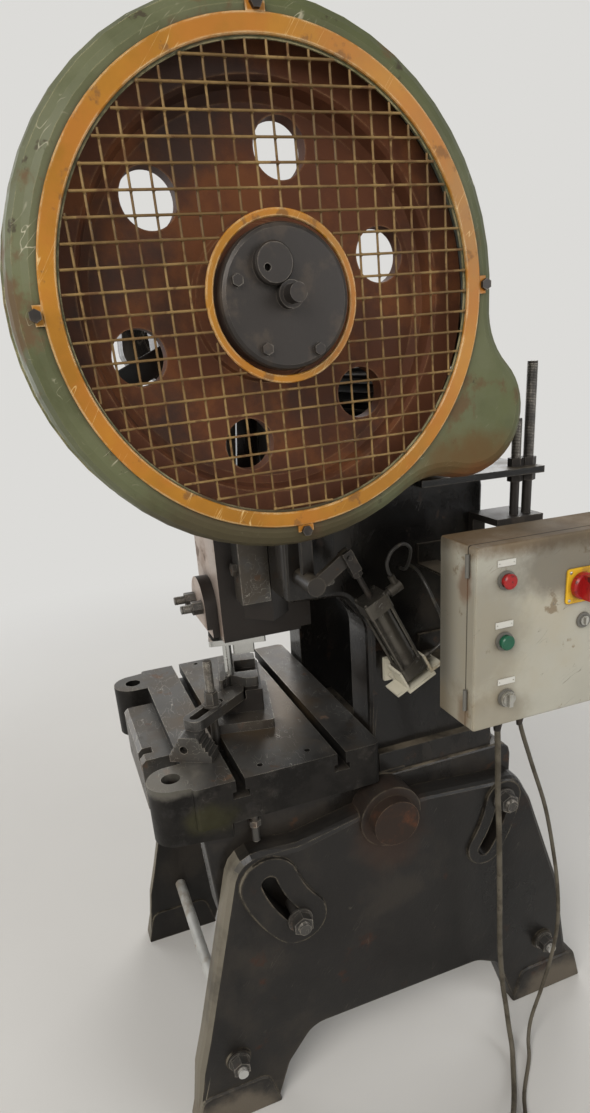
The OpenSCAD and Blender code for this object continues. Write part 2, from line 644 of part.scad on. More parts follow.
module tilt_nuts() color([0.55, 0.52, 0.48]) both()
    for (a = [front_bolt_angle, rear_bolt_angle]) {
        p = tilt_point(a);
        x = leg_out + pad_t + 0.2;
        difference() {
            union() {
                bar_x(x, x + washer_t, 25, p.x, p.y);
                hex_x(x + washer_t - eps, x + washer_t + nut_h, nut_af, p.x, p.y);
            }
            bar_x(x - 1, x + 40, tilt_bolt_d / 2 + run, p.x, p.y);
        }
    }

// Screw that rests the bed side on the leg shoulder
module stop_bolt() color([0.6, 0.6, 0.58]) both() {
    x = leg_out - 30;
    bar_z(leg_top + 4, table_z - fit, 7, x, -70, 32);
    hex_z(table_z - 22, table_z - 10, 20, x, -70);
}

// Crankshaft with two webs, brake drum end and clutch end
module crankshaft() color([0.6, 0.6, 0.6]) {
    bar_x(-cheek_out - 62, -pin_half, journal_d / 2, 0, crank_z, 64);
    bar_x(pin_half, cheek_out + 34, journal_d / 2, 0, crank_z, 64);
    bar_x(cheek_out + 34 - eps, cap_x - 6, fly_journal_d / 2, 0, crank_z, 64);
    bar_x(-pin_half - eps, pin_half + eps, pin_d / 2, 0, pin_z, 64);
    both() bar_x(pin_half, pin_half + web_thick, pin_d / 2 + crank_throw + 8, 0, crank_z, 64);
    bar_x(-cheek_out - 60, -cheek_out - 32, 84, 0, crank_z, 64);
    bar_x(cap_x - 6 - eps, cap_x + stud_len, 11, 2, crank_z + 3);
}

// Clutch body with cap, side boss and bolt heads
module clutch_hub() color([0.16, 0.16, 0.17]) {
    difference() {
        turned_x(0, crank_z) polygon([
            [0, clutch_back], [cap_r - 8, clutch_back], [cap_r - 8, cap_x - 24], [cap_r, cap_x - 24],
            [cap_r, cap_x - 5], [cap_r - 2, cap_x - 2], [cap_r - 6, cap_x], [0, cap_x]]);
        bar_x(clutch_back - 1, cap_x - 6 + fit, fly_journal_d / 2 + run, 0, crank_z, 64);
        bar_x(cap_x - 8, cap_x + 1, 11 + run, 2, crank_z + 3);
        bar_x(cap_x + 10, cap_x + 40, 3, -26, crank_z + 32, 24);
    }
    difference() {
        bar_x(cap_x - 1, cap_x + 12, 16, 2, crank_z + 3);
        bar_x(cap_x - 2, cap_x + 13, 11 + run, 2, crank_z + 3);
    }
    difference() {
        turned_x(-17, crank_z + 37) polygon([[0, cap_x - 1], [24, cap_x - 1], [24, cap_x + 11], [22, cap_x + 14], [0, cap_x + 14]]);
        bar_x(cap_x + 4, cap_x + 20, 4, -27, crank_z + 32, 24);
    }
    for (p = [[-31, -57], [38, -60], [-62, 20]]) hex_x(cap_x - 1, cap_x + 6, 13, p.x, crank_z + p.y);
}

// Connecting rod with a split big end
module connecting_rod() color([0.33, 0.32, 0.3]) difference() {
    union() {
        bar_x(-pin_half + 3, pin_half - 3, rod_r, 0, pin_z, 64);
        both() block([0, -rod_r - 22, pin_z - 26], [pin_half - 12, rod_r + 22, pin_z - 1]);
        both() block([0, -rod_r - 22, pin_z + 1], [pin_half - 12, rod_r + 22, pin_z + 26]);
        bar_z(ram_top + 26, pin_z - rod_r + 14, 40, 0, 0);
        translate([0, 0, ram_top + 60]) cylinder(h = pin_z - rod_r - ram_top - 40, r1 = 40, r2 = 48);
    }
    bar_x(-pin_half - 1, pin_half + 1, pin_d / 2 + run, 0, pin_z, 64);
    block([-pin_half - 1, -rod_r - 30, pin_z - 1], [pin_half + 1, -pin_d / 2 + 4, pin_z + 1]);
    block([-pin_half - 1, pin_d / 2 - 4, pin_z - 1], [pin_half + 1, rod_r + 30, pin_z + 1]);
    bar_z(ram_top + 20, ram_top + 90, ball_screw_d / 2 + run, 0, 0);
}

module rod_bolts() color([0.5, 0.48, 0.45])
    for (y = [-rod_r - 8, rod_r + 8]) for (x = [-20, 20]) {
        hex_z(pin_z + 26, pin_z + 38, 22, x, y);
        hex_z(pin_z - 40, pin_z - 26, 22, x, y);
    }

// Adjusting screw with its ball and lock nut
module ball_screw() color([0.6, 0.58, 0.52]) {
    bar_z(ball_z, ram_top + 88, ball_screw_d / 2, 0, 0);
    translate([0, 0, ball_z]) sphere(d = ball_d, $fn = 48);
    difference() {
        hex_z(ram_top + 10, ram_top + 26 - fit, 60, 0, 0);
        bar_z(ram_top + 9, ram_top + 27, ball_screw_d / 2 - eps, 0, 0);
    }
}

// Ram with V ridges, ball pocket and tool shank bore
module ram_slide() color([0.68, 0.62, 0.58]) difference() {
    union() {
        block([-ram_half, ram_mid - ram_depth / 2, ram_z + 8], [ram_half, ram_mid + ram_depth / 2, ram_top]);
        block([-ram_half + 6, ram_mid - ram_depth / 2 + 2, ram_z], [ram_half - 6, ram_mid + ram_depth / 2 - 20, ram_z + 9]);
        both() translate([0, 0, ridge_z]) linear_extrude(ram_height - 45) polygon([
            [ram_half - 1, ram_mid - 46], [ram_half, ram_mid - 45], [ram_half + ridge, ram_mid],
            [ram_half, ram_mid + 45], [ram_half - 1, ram_mid + 46]]);
    }
    translate([0, 0, ball_z - ball_d / 2 - 5]) linear_extrude(ram_height) polygon(outline([
        [[-ball_d / 2 - 2, -ball_d / 2 - crank_throw - 1], 14, 1], [[ball_d / 2 + 2, -ball_d / 2 - crank_throw - 1], 14, 1],
        [[ball_d / 2 + 2, ball_d / 2 + crank_throw + 1], 14, 1], [[-ball_d / 2 - 2, ball_d / 2 + crank_throw + 1], 14, 1]]));
    bar_z(ram_z - 1, ram_z + 70, 16, 0, 0);
}

// Clamp cap over the tool shank, round at the top
module clamp_cap() color([0.62, 0.58, 0.55]) difference() {
    union() {
        bar_y(-ram_front - fit - 24, -ram_front - fit, 56, 0, ram_z + 62);
        block([-56, -ram_front - fit - 24, ram_z + 6], [56, -ram_front - fit, ram_z + 62]);
    }
    for (x = [-32, 32]) bar_y(-ram_front - 40, -ram_front + 1, 8 + run, x, ram_z + 66);
    block([-57, -ram_front - 40, ram_z - 1], [57, -ram_front - 14, ram_z + 24]);
}

module clamp_nuts() color([0.55, 0.54, 0.5])
    for (x = [-32, 32]) {
        bar_y(-ram_front - 66, -ram_front - fit, 8, x, ram_z + 66);
        difference() {
            hex_y(-ram_front - 45, -ram_front - 24 - 2 * fit, 24, x, ram_z + 66);
            bar_y(-ram_front - 50, -ram_front, 8 + run, x, ram_z + 66);
        }
    }

// Upper tool plate with shank and two guide pins
module upper_die() color([0.72, 0.7, 0.66]) rotate([0, 0, die_turn]) {
    box_round([-68, -56, upper_z], [68, 56, ram_z - fit], 4);
    bar_z(ram_z - 1, ram_z + 60, 16 - run, 0, 0);
    for (x = [-34, 34]) bar_z(strip_z - 14, upper_z + 1, guide_pin_d / 2, x, -22);
    box_round([-26, -10, strip_z + stripper_t + 8 + stroke], [26, 34, upper_z + 1], 3);
}

module tool_turn() rotate([0, 0, die_turn]) children();

// Lower tool: base plate, die block and stripper plate
module die_base() color([0.5, 0.49, 0.46]) tool_turn() difference() {
    box_round([-die_base_w / 2 + 30, -die_base_d / 2 - 4, bed_z], [die_base_w / 2 + 30, die_base_d / 2 - 4, bed_z + die_base_t], 6);
    bar_z(bed_z - 1, bed_z + die_base_t + 1, 24, 0, 0);
}

// Room cut into the tool for the nose of the strap clamp, which presses on its floor
module strap_seat() translate([strap_tip.x, strap_tip.y, strap_z]) rotate([0, 0, strap_turn])
    block([60, -strap_w / 2 - 1, 0], [strap_len + 1, strap_w / 2 + 1, 60]);

module die_block() color([0.45, 0.44, 0.42]) difference() {
    z = bed_z + die_base_t;
    tool_turn() difference() {
        box_round([-70, -46, z], [82, 40, strip_z], 3);
        bar_z(z - 1, strip_z + 1, 20, 0, 6);
        for (x = [-34, 34]) bar_z(strip_z - 18 - stroke, strip_z + 1, guide_pin_d / 2 + 0.2, x, -22);
    }
    strap_seat();
}

module stripper_plate() color([0.75, 0.73, 0.68]) difference() {
    tool_turn() difference() {
        box_round([-64, -44, strip_z], [66, 34, strip_z + stripper_t], 5);
        box_round([-30, -12, strip_z - 1], [30, 36, strip_z + stripper_t + 1], 4);
        for (x = [-34, 34]) bar_z(strip_z - 1, strip_z + stripper_t + 1, guide_pin_d / 2 + 0.2, x, -22);
        for (x = [50, 58]) bar_z(strip_z + 4, strip_z + stripper_t + 1, 3, x, -30, 24);
    }
    strap_seat();
}

// Strap clamp: slotted bar from the step block to the tool base
strap_turn = 129.5;
strap_tip = [162, -146];
strap_z = bed_z + step_h;
strap_dir = [cos(strap_turn), sin(strap_turn)];
stud_at = strap_tip + strap_dir * (-slot_front - strap_tip.y) / strap_dir.y;

module strap_clamp() color([0.5, 0.49, 0.46]) translate([strap_tip.x, strap_tip.y, strap_z]) rotate([0, 0, strap_turn]) difference() {
    linear_extrude(strap_t) polygon(outline([
        [[0, -strap_w / 2], 16, 1], [[strap_len - 20, -strap_w / 2], 10, 1], [[strap_len, -8], 4, 1],
        [[strap_len, 8], 4, 1], [[strap_len - 20, strap_w / 2], 10, 1], [[0, strap_w / 2], 16, 1]]));
    for (x = [18, 92]) bar_z(-1, strap_t + 1, clamp_stud_d / 2 + 1.5, x, 0);
    block([18, -clamp_stud_d / 2 - 1.5, -1], [92, clamp_stud_d / 2 + 1.5, strap_t + 1]);
}

module clamp_stud() color([0.65, 0.64, 0.6]) {
    p = stud_at;
    bar_z(bed_z - 34, strap_z + strap_t + 92, clamp_stud_d / 2, p.x, p.y);
    block([p.x - 13, p.y - slot_w / 2 - 5, bed_z - 36], [p.x + 13, p.y + slot_w / 2 + 5, bed_z - 24.3]);
    difference() {
        union() {
            bar_z(strap_z + strap_t, strap_z + strap_t + 4, 18, p.x, p.y);
            hex_z(strap_z + strap_t + 4 - eps, strap_z + strap_t + 30, 24, p.x, p.y);
        }
        bar_z(strap_z + strap_t - 1, strap_z + strap_t + 31, clamp_stud_d / 2 - eps, p.x, p.y);
    }
}

// Step block with toothed slopes at both ends
module step_block() color([0.48, 0.45, 0.42]) translate([166, -190, bed_z]) rotate([0, 0, 58]) difference() {
    teeth = 5;
    run_x = 26;
    fall = step_h - 8;
    translate([0, step_w, 0]) rotate([90, 0, 0]) linear_extrude(step_w) polygon(concat(
        [[0, 0], [step_len, 0]],
        [for (i = [0 : teeth - 1]) each [[step_len - i * run_x / teeth, 6 + i * fall / teeth],
            [step_len - i * run_x / teeth, 6 + (i + 1) * fall / teeth]]],
        [[step_len - run_x, step_h], [run_x, step_h]],
        [for (i = [teeth - 1 : -1 : 0]) each [[i * run_x / teeth, 6 + (i + 1) * fall / teeth],
            [i * run_x / teeth, 6 + i * fall / teeth]]]));
    bar_y(-1, 14, 7.5, step_len * 0.36, step_h / 2, 32);
}

// Spoked look from six round holes in the web, two belt grooves on the rim
module flywheel() color([0.32, 0.17, 0.1]) difference() {
    turned_x(0, crank_z, 96) polygon([
        [fly_journal_d / 2 + run, hub_back], [78, hub_back], [84, web_front - fly_web], [rim_in - 10, web_front - fly_web],
        [rim_in, web_front - fly_web - 10], [rim_in, rim_x + 3], [rim_in + 3, rim_x], [fly_r - 3, rim_x], [fly_r, rim_x + 3],
        [fly_r, pulley_x - belt_pitch / 2 - belt_w / 2 - 0.4], [fly_r - belt_t - 1, pulley_x - belt_pitch / 2 - belt_w / 2 - 0.4],
        [fly_r - belt_t - 1, pulley_x - belt_pitch / 2 + belt_w / 2 + 0.4], [fly_r, pulley_x - belt_pitch / 2 + belt_w / 2 + 0.4],
        [fly_r, pulley_x + belt_pitch / 2 - belt_w / 2 - 0.4], [fly_r - belt_t - 1, pulley_x + belt_pitch / 2 - belt_w / 2 - 0.4],
        [fly_r - belt_t - 1, pulley_x + belt_pitch / 2 + belt_w / 2 + 0.4], [fly_r, pulley_x + belt_pitch / 2 + belt_w / 2 + 0.4],
        [fly_r, rim_x + rim_w - 4], [fly_r - 4, rim_x + rim_w], [rim_in + 4, rim_x + rim_w], [rim_in, rim_x + rim_w - 6],
        [rim_in - 4, web_front + 10], [rim_in - 14, web_front], [98, web_front], [94, web_front + 8], [fly_journal_d / 2 + run, web_front + 8]]);
    for (i = [0 : 5])
        bar_x(hub_back, web_front + 4, fly_hole_d / 2, fly_hole_pcr * cos(fly_hole_angle + 60 * i),
            crank_z + fly_hole_pcr * sin(fly_hole_angle + 60 * i));
}

// Guard outline: drum circle, motor lobe and the two hollow fillets between them
lobe_at = [motor_dy - 2, -motor_dz - 1];
lobe_gap = norm(lobe_at);
lobe_dir = atan2(lobe_at.y, lobe_at.x);
function side_angle(a, b, c) = acos((a * a + b * b - c * c) / (2 * a * b));
drum_side = side_angle(guard_r + lobe_fillet, lobe_gap, lobe_r + lobe_fillet);
lobe_side = side_angle(lobe_r + lobe_fillet, lobe_gap, guard_r + lobe_fillet);
function guard_ring(d) =
    let (up = (guard_r + lobe_fillet) * [cos(lobe_dir + drum_side), sin(lobe_dir + drum_side)])
    let (low = (guard_r + lobe_fillet) * [cos(lobe_dir - drum_side), sin(lobe_dir - drum_side)])
    concat(
        arc([0, 0], guard_r - d, lobe_dir + drum_side, lobe_dir + 360 - drum_side, 46),
        inner_arc(low, lobe_fillet + d, lobe_dir + 180 - drum_side, lobe_dir + lobe_side, 7),
        arc(lobe_at, lobe_r - d, lobe_dir - 180 + lobe_side, lobe_dir + 180 - lobe_side, 18),
        inner_arc(up, lobe_fillet + d, lobe_dir - lobe_side, lobe_dir - 180 + drum_side, 7));

module guard_drum() color([0.36, 0.38, 0.26]) difference() {
    t = guard_sheet;
    translate([0, 0, crank_z]) {
        difference() {
            skin([guard_ring(1), guard_ring(-3), guard_ring(-3), guard_ring(0), guard_ring(0), guard_ring(3),
                guard_ring(guard_turn * 0.35), guard_ring(guard_turn * 0.7), guard_ring(guard_turn)],
                [guard_back, guard_back + 2, guard_back + 7, guard_back + 9, guard_front - 42, guard_front - 24,
                guard_front - 10, guard_front - 3, guard_front]);
            skin([guard_ring(t), guard_ring(t), guard_ring(t + 3), guard_ring(guard_turn * 0.35 + t),
                guard_ring(guard_turn * 0.7 + t), guard_ring(guard_turn + t)],
                [guard_back - 2, guard_front - 42 - t, guard_front - 25 - t, guard_front - 11 - t, guard_front - 3.6 - t, guard_front - t]);
        }
    }
    bar_x(guard_front - 60, guard_front + 5, ring_in - 3, 0, crank_z, 96);
}

module grille_frame() translate([0, 0, crank_z]) rotate([grille_turn, 0, 0]) children();

// Yellow rings: the outer one with four tabs on the guard, the small one round the clutch
module grille_rings() color([0.85, 0.6, 0.12]) grille_frame() {
    difference() {
        union() {
            turned_x(0, 0, 96) polygon([[ring_in, eye_x], [ring_out, eye_x], [ring_out, eye_x + ring_t - 1.2],
                [ring_out - 1.2, eye_x + ring_t], [ring_in + 1.2, eye_x + ring_t], [ring_in, eye_x + ring_t - 1.2]]);
            for (a = [0, 90, 180, 270]) rotate([a, 0, 0]) block([eye_x, ring_out - 4, -11], [eye_x + 3, guard_r - guard_turn + 1, 11]);
        }
        for (a = [0, 90, 180, 270]) rotate([a, 0, 0]) bar_x(eye_x - 1, eye_x + 10, 4.3, ring_out + 8, 0, 24);
    }
    turned_x(0, 0, 64) polygon([[eye_in, eye_x], [eye_out, eye_x], [eye_out, eye_x + ring_t - 1.2],
        [eye_out - 1.2, eye_x + ring_t], [eye_in + 1.2, eye_x + ring_t], [eye_in, eye_x + ring_t - 1.2]]);
}

// Wires in two layers that touch, cut round at the outer ring and split at the small one
mesh_first = [-9.7, -6.1];
function reach(r, s) = sqrt(max(0, r * r - s * s));
module wire_row(offset, x) {
    r_out = ring_in - 3 - fit;
    outer = reach(r_out, abs(offset) + wire_d / 2);
    inner = abs(offset) - wire_d / 2 < eye_out + fit ? reach(eye_out + fit, max(0, abs(offset) - wire_d / 2)) : 0;
    if (outer > 4) {
        if (inner > 0.5) for (s = [0, 180]) rotate([s, 0, 0]) bar_y(inner, outer, wire_d / 2, x, offset * (s == 0 ? 1 : -1), 16);
        else bar_y(-outer, outer, wire_d / 2, x, offset, 16);
    }
}
mesh_count = floor(ring_in / mesh_pitch);
module grille_mesh() color([0.65, 0.5, 0.25]) grille_frame() {
    for (k = [-mesh_count - 1 : mesh_count + 1]) {
        if (abs(mesh_first.y + k * mesh_pitch) < ring_in - 4) wire_row(mesh_first.y + k * mesh_pitch, eye_x + wire_d / 2 + wire_d + 0.2 - 2);
        if (abs(mesh_first.x + k * mesh_pitch) < ring_in - 4) rotate([90, 0, 0]) wire_row(mesh_first.x + k * mesh_pitch, eye_x + wire_d / 2 - 2);
    }
}

// Ring bolts on the face and small knobs on the rim of the guard
module guard_bolts() color([0.25, 0.24, 0.22]) {
    grille_frame() for (a = [0, 90, 180, 270]) rotate([a, 0, 0]) hex_x(eye_x + 3 + fit, eye_x + 9, 13, ring_out + 8, 0);
    translate([0, 0, crank_z]) difference() {
        for (a = [-4.8, -13.5]) rotate([a, 0, 0]) bar_y(guard_r - 4, guard_r + 11 - a, 6, guard_front - 60, 0, 24);
        along_x(guard_back, guard_front) polygon(guard_ring(-fit));
    }
}

// Arms from the housings and column to the back of the guard
module guard_brackets() color([0.2, 0.2, 0.18]) intersection() {
    for (a = [112, 205, 265]) translate([0, 0, crank_z]) rotate([a, 0, 0]) {
        block([cheek_out + 22 + fit, housing_r - 30, -16], [cheek_out + 30, guard_r, 16]);
        block([cheek_out + 22 + fit, guard_r - guard_sheet - 9, -16], [guard_back + 30, guard_r, 16]);
    }
    bar_x(cheek_out, guard_front, guard_r - guard_sheet - 0.9, 0, crank_z, 96);
}

// Motor with ribbed body, end shields, fan cowl, terminal box and feet
module motor() color([0.17, 0.18, 0.2]) {
    x1 = rim_x - 42;
    x0 = x1 - motor_len;
    bar_x(x0 + 46, x1 - 14, motor_r - 8, motor_y, motor_z, 64);
    for (i = [0 : 35]) if (abs(i * 10 - 270) > 40 && abs(i * 10 - 90) > 26) translate([x0 + 50, motor_y, motor_z]) rotate([i * 10, 0, 0])
        block([0, motor_r - 10, -1.6], [motor_len - 68, motor_r, 1.6]);
    turned_x(motor_y, motor_z) polygon([[0, x1 - 15], [motor_r - 6, x1 - 15], [motor_r - 6, x1 - 8], [motor_r - 30, x1], [0, x1]]);
    turned_x(motor_y, motor_z) polygon([[0, x0], [motor_r - 12, x0], [motor_r - 4, x0 + 8], [motor_r - 4, x0 + 47], [0, x0 + 47]]);
    block([x0 + 110, motor_y - 42, motor_z + motor_r - 14], [x0 + 196, motor_y + 42, motor_z + motor_r + 34]);
    for (y = [-70, 46]) block([x0 + 70, motor_y + y, plate_z], [x1 - 36, motor_y + y + 24, motor_z - motor_r * 0.55]);
}

// Hinged motor plate on the shoulder of the column
module motor_plate() color([0.2, 0.2, 0.19]) difference() {
    block([-60, throat_y + 62, shoulder_z + fit], [air_x + 26, column_rear + 62, plate_z - fit]);
    for (y = [column_rear + 22, column_rear + 48]) bar_z(shoulder_z - 1, plate_z + 1, 10, air_x - 2, y);
}

// Bracket on the column with the tall threaded post and its nuts
module tension_posts() color([0.28, 0.27, 0.27]) {
    y = column_rear + 48;
    x = air_x - 2;
    bar_z(shoulder_z - 72, motor_z + 62, 8.5, x, y);
    bar_z(shoulder_z - 72, plate_z + 80, 8, x, column_rear + 22);
    for (yy = [y, column_rear + 22]) difference() {
        union() {
            hex_z(plate_z, plate_z + 14, 24, x, yy);
            hex_z(shoulder_z - 14, shoulder_z, 24, x, yy);
        }
        bar_z(shoulder_z - 20, plate_z + 20, 8 - eps, x, yy);
    }
    block([cheek_out + fit, column_rear - 30, shoulder_z - 84], [air_x + 24, column_rear + 66, shoulder_z - 72 + eps]);
    block([cheek_out + fit, column_rear - 30, shoulder_z - 150], [cheek_out + 14, column_rear - 4, shoulder_z - 80]);
}

// Small pulley with two grooves on the motor shaft
module motor_pulley() color([0.35, 0.33, 0.3]) {
    g = belt_t + 1;
    w = belt_w / 2 + 0.4;
    turned_x(motor_y, motor_z) polygon([[0, pulley_x - 27], [pulley_r, pulley_x - 27],
        [pulley_r, pulley_x - belt_pitch / 2 - w], [pulley_r - g, pulley_x - belt_pitch / 2 - w],
        [pulley_r - g, pulley_x - belt_pitch / 2 + w], [pulley_r, pulley_x - belt_pitch / 2 + w],
        [pulley_r, pulley_x + belt_pitch / 2 - w], [pulley_r - g, pulley_x + belt_pitch / 2 - w],
        [pulley_r - g, pulley_x + belt_pitch / 2 + w], [pulley_r, pulley_x + belt_pitch / 2 + w],
        [pulley_r, pulley_x + 27], [0, pulley_x + 27]]);
    bar_x(rim_x - 42 + fit, pulley_x, 14, motor_y, motor_z);
}

// Belt path round both grooves
function belt_path(r1, r2) =
    let (tilt = acos((r1 - r2) / centre_gap), way = atan2(-motor_dz, motor_dy))
    concat(arc([0, 0], r1, way + tilt, way + 360 - tilt, 60),
        arc([motor_dy, -motor_dz], r2, way - tilt, way + tilt, 12));
module belts() color([0.08, 0.08, 0.08])
    for (s = [-1, 1]) translate([0, 0, crank_z]) along_x(pulley_x + s * belt_pitch / 2 - belt_w / 2, pulley_x + s * belt_pitch / 2 + belt_w / 2)
        difference() {
            polygon(belt_path(fly_r - 0.2, pulley_r - 0.2));
            polygon(belt_path(fly_r - belt_t, pulley_r - belt_t));
        }

// Frame of the air cylinder: its foot at the origin, the rod along +Z
module air_frame() translate([air_x, air_foot.x, air_foot.y]) rotate([air_lean, 0, 0]) children();

module air_barrel() color([0.72, 0.72, 0.7]) air_frame() {
    difference() {
        union() {
            bar_z(20, air_len + 28, air_r, 0, 0);
            box_round([-24, -24, 0], [24, 24, 24], 5);
            box_round([-24, -24, air_len + 24], [24, 24, air_len + 52], 5);
        }
        bar_z(air_len - air_travel + 8, air_len + 60, air_rod_d / 2 + run, 0, 0, 32);
    }
    for (x = [-19, 19]) for (y = [-19, 19]) bar_z(10, air_len + 56, 3, x, y, 16);
}

// Foot plates that hang the cylinder on the cheek
module air_feet() color([0.85, 0.83, 0.76]) {
    air_frame() for (y = [-24 - fit - 5, 24 + fit]) {
        block([-24, y, -16], [22, y + 5, 22]);
        block([-24, y < 0 ? y - 22 : y, -16], [22, y < 0 ? y + 5 : y + 27, -11]);
    }
    air_frame() block([cheek_out + fit - air_x + 2, -30, -22], [26, 30, -16.3]);
    block([cheek_out + fit, air_foot.x - 26, air_foot.y - 40], [cheek_out + 8, air_foot.x + 44, air_foot.y + 6]);
}

module air_rod() color([0.8, 0.8, 0.8]) air_frame() {
    bar_z(air_len + 10, pin_out - 26, air_rod_d / 2, 0, 0, 32);
    difference() {
        block([-11, -9, pin_out - 30], [11, 9, pin_out + 11]);
        block([-5.5, -10, pin_out - 14], [5.5, 10, pin_out + 12]);
    }
    hex_z(pin_out - 40, pin_out - 30 + eps, 17, 0, 0);
    bar_x(-14, 14, 4, 0, pin_out, 24);
}

// Bell crank between the rod end and the clutch, on a pivot in the cheek
module clutch_lever() color([0.2, 0.2, 0.2]) difference() {
    x = air_x - 5;
    a = lever_angle;
    union() {
        along_x(x, x + 10) polygon(concat(arc(pin_at, 12, a - 90, a + 90, 12), arc(lever_pivot, 12, a + 90, a + 270, 12)));
        bar_x(cheek_out + fit, x + 12, 16, lever_pivot.x, lever_pivot.y);
        translate([cheek_out + 25, lever_pivot.x, lever_pivot.y]) block([0, -10, 0], [12, 10, 205]);
    }
    bar_x(x - 1, x + 11, 6, pin_at.x, pin_at.y, 32);
}

// Flow valve, elbow and second elbow on the cylinder heads
module air_fittings() color([0.75, 0.74, 0.72]) {
    air_frame() {
        bar_y(24 + fit, 40, 7, 0, air_len + 38, 24);
        bar_y(33, 58, 10, 0, air_len + 38, 24);
        bar_z(air_len + 38, air_len + 62, 6, 0, 50, 24);
        bar_y(29 + 2 * fit, 40, 7, 10, 12, 24);
    }
}

// Cabinet shell, open towards the door
module cabinet() color([0.75, 0.74, 0.68]) {
    s = cab_sheet;
    difference() {
        rounded_plate([[[cab_y, cab_z], 4, 1], [[cab_y + cab_w, cab_z], 4, 1], [[cab_y + cab_w, cab_z + cab_h], 4, 1],
            [[cab_y, cab_z + cab_h], 4, 1]], cab_x, cab_x + cab_d, 1, 2, 1);
        block([cab_x + s, cab_y + s, cab_z + s], [cab_x + cab_d + 5, cab_y + cab_w - s, cab_z + cab_h - s]);
    }
    for (y = [cab_y + 92, cab_y + 140]) bar_z(cab_z - gland_len, cab_z + 1, 11, cab_x + 40, y, 32);
}

// Angle arms from the cheek to the back of the cabinet, and the cable glands
module cabinet_bracket() color([0.25, 0.25, 0.24])
    for (z = [cab_z + 40, cab_z + cab_h - 90]) {
        block([cheek_out + fit, cab_y + 40, z], [cab_x - fit, cab_y + 80, z + 5]);
        block([cheek_out + fit, cab_y + 40, z], [cheek_out + 6, cab_y + 150, z + 40]);
        block([cab_x - 6, cab_y + 40, z], [cab_x - fit, cab_y + 220, z + 40]);
    }

// Mounting plate with contactors, breaker row and terminal rail behind the door
module switchgear() color([0.82, 0.82, 0.78]) {
    x = cab_x + cab_sheet + fit;
    block([x, cab_y + 20, cab_z + 24], [x + 3, cab_y + cab_w - 20, cab_z + cab_h - 24]);
    for (i = [0 : 2]) box_round([x + 3, cab_y + 36 + i * 52, cab_z + 168], [x + 40, cab_y + 80 + i * 52, cab_z + 236], 3);
    block([x + 3, cab_y + 196, cab_z + 168], [x + 44, cab_y + 268, cab_z + 246]);
    block([x + 3, cab_y + 40, cab_z + 100], [x + 10, cab_y + 260, cab_z + 135]);
    for (i = [0 : 9]) block([x + 10, cab_y + 60 + i * 15, cab_z + 96], [x + 34, cab_y + 72 + i * 15, cab_z + 139]);
}

// Door pan with a returned edge
module cabinet_door() color([0.78, 0.77, 0.71]) difference() {
    s = cab_sheet;
    rounded_plate([[[cab_y, cab_z], 5, 1], [[cab_y + cab_w, cab_z], 5, 1], [[cab_y + cab_w, cab_z + cab_h], 5, 1],
        [[cab_y, cab_z + cab_h], 5, 1]], door_x, face_x, 4, 3, 2);
    block([door_x - 1, cab_y + s + 3, cab_z + s + 3], [face_x - s, cab_y + cab_w - s - 3, cab_z + cab_h - s - 3]);
    for (z = [red_z, green_z]) bar_x(door_x, face_x + 1, 11 + fit, button_y, z, 32);
    bar_x(door_x, face_x + 1, 11 + fit, button_y + 8, selector_z, 32);
    bar_x(door_x, face_x + 1, 8 + fit, switch_y, switch_z, 32);
    bar_x(door_x, face_x + 1, 8 + fit, lock_y, lock_z, 32);
}
button_y = cab_y + 53;
red_z = cab_z + 249;
green_z = cab_z + 150;
selector_z = cab_z + 50;
switch_y = cab_y + 196;
switch_z = cab_z + 218;
lock_y = cab_y + 207;
lock_z = cab_z + 156;

// Hinges, bezels, bare plates and the yellow switch plate
module door_trim() color([0.8, 0.7, 0.3]) {
    for (z = [red_z, green_z]) bezel(button_y, z);
    bezel(button_y + 8, selector_z);
    difference() {
        rounded_plate([[[switch_y - switch_plate / 2, switch_z - switch_plate / 2], 5, 1],
            [[switch_y + switch_plate / 2, switch_z - switch_plate / 2], 5, 1],
            [[switch_y + switch_plate / 2, switch_z + switch_plate / 2], 5, 1],
            [[switch_y - switch_plate / 2, switch_z + switch_plate / 2], 5, 1]], face_x + fit, face_x + 4, 1, 3, 1);
        bar_x(face_x, face_x + 6, 8 + fit, switch_y, switch_z, 32);
    }
    difference() {
        bar_x(face_x + fit, face_x + 3, 13, lock_y, lock_z, 32);
        bar_x(face_x, face_x + 6, 8 + fit, lock_y, lock_z, 32);
    }
    for (p = [[button_y, red_z + 22], [button_y, green_z + 22], [button_y + 8, selector_z + 24]])
        block([face_x + fit, p.x - 16, p.y], [face_x + 1.6, p.x + 16, p.y + 10]);
    for (z = [cab_z + 52, cab_z + cab_h - 30]) bar_z(z - 18, z + 18, 3.5, door_x + 4, cab_y - 3.8, 24);
}
module bezel(y, z) difference() {
    bar_x(face_x + fit, face_x + 5, 15, y, z, 48);
    bar_x(face_x, face_x + 6, 11 + fit, y, z, 32);
}

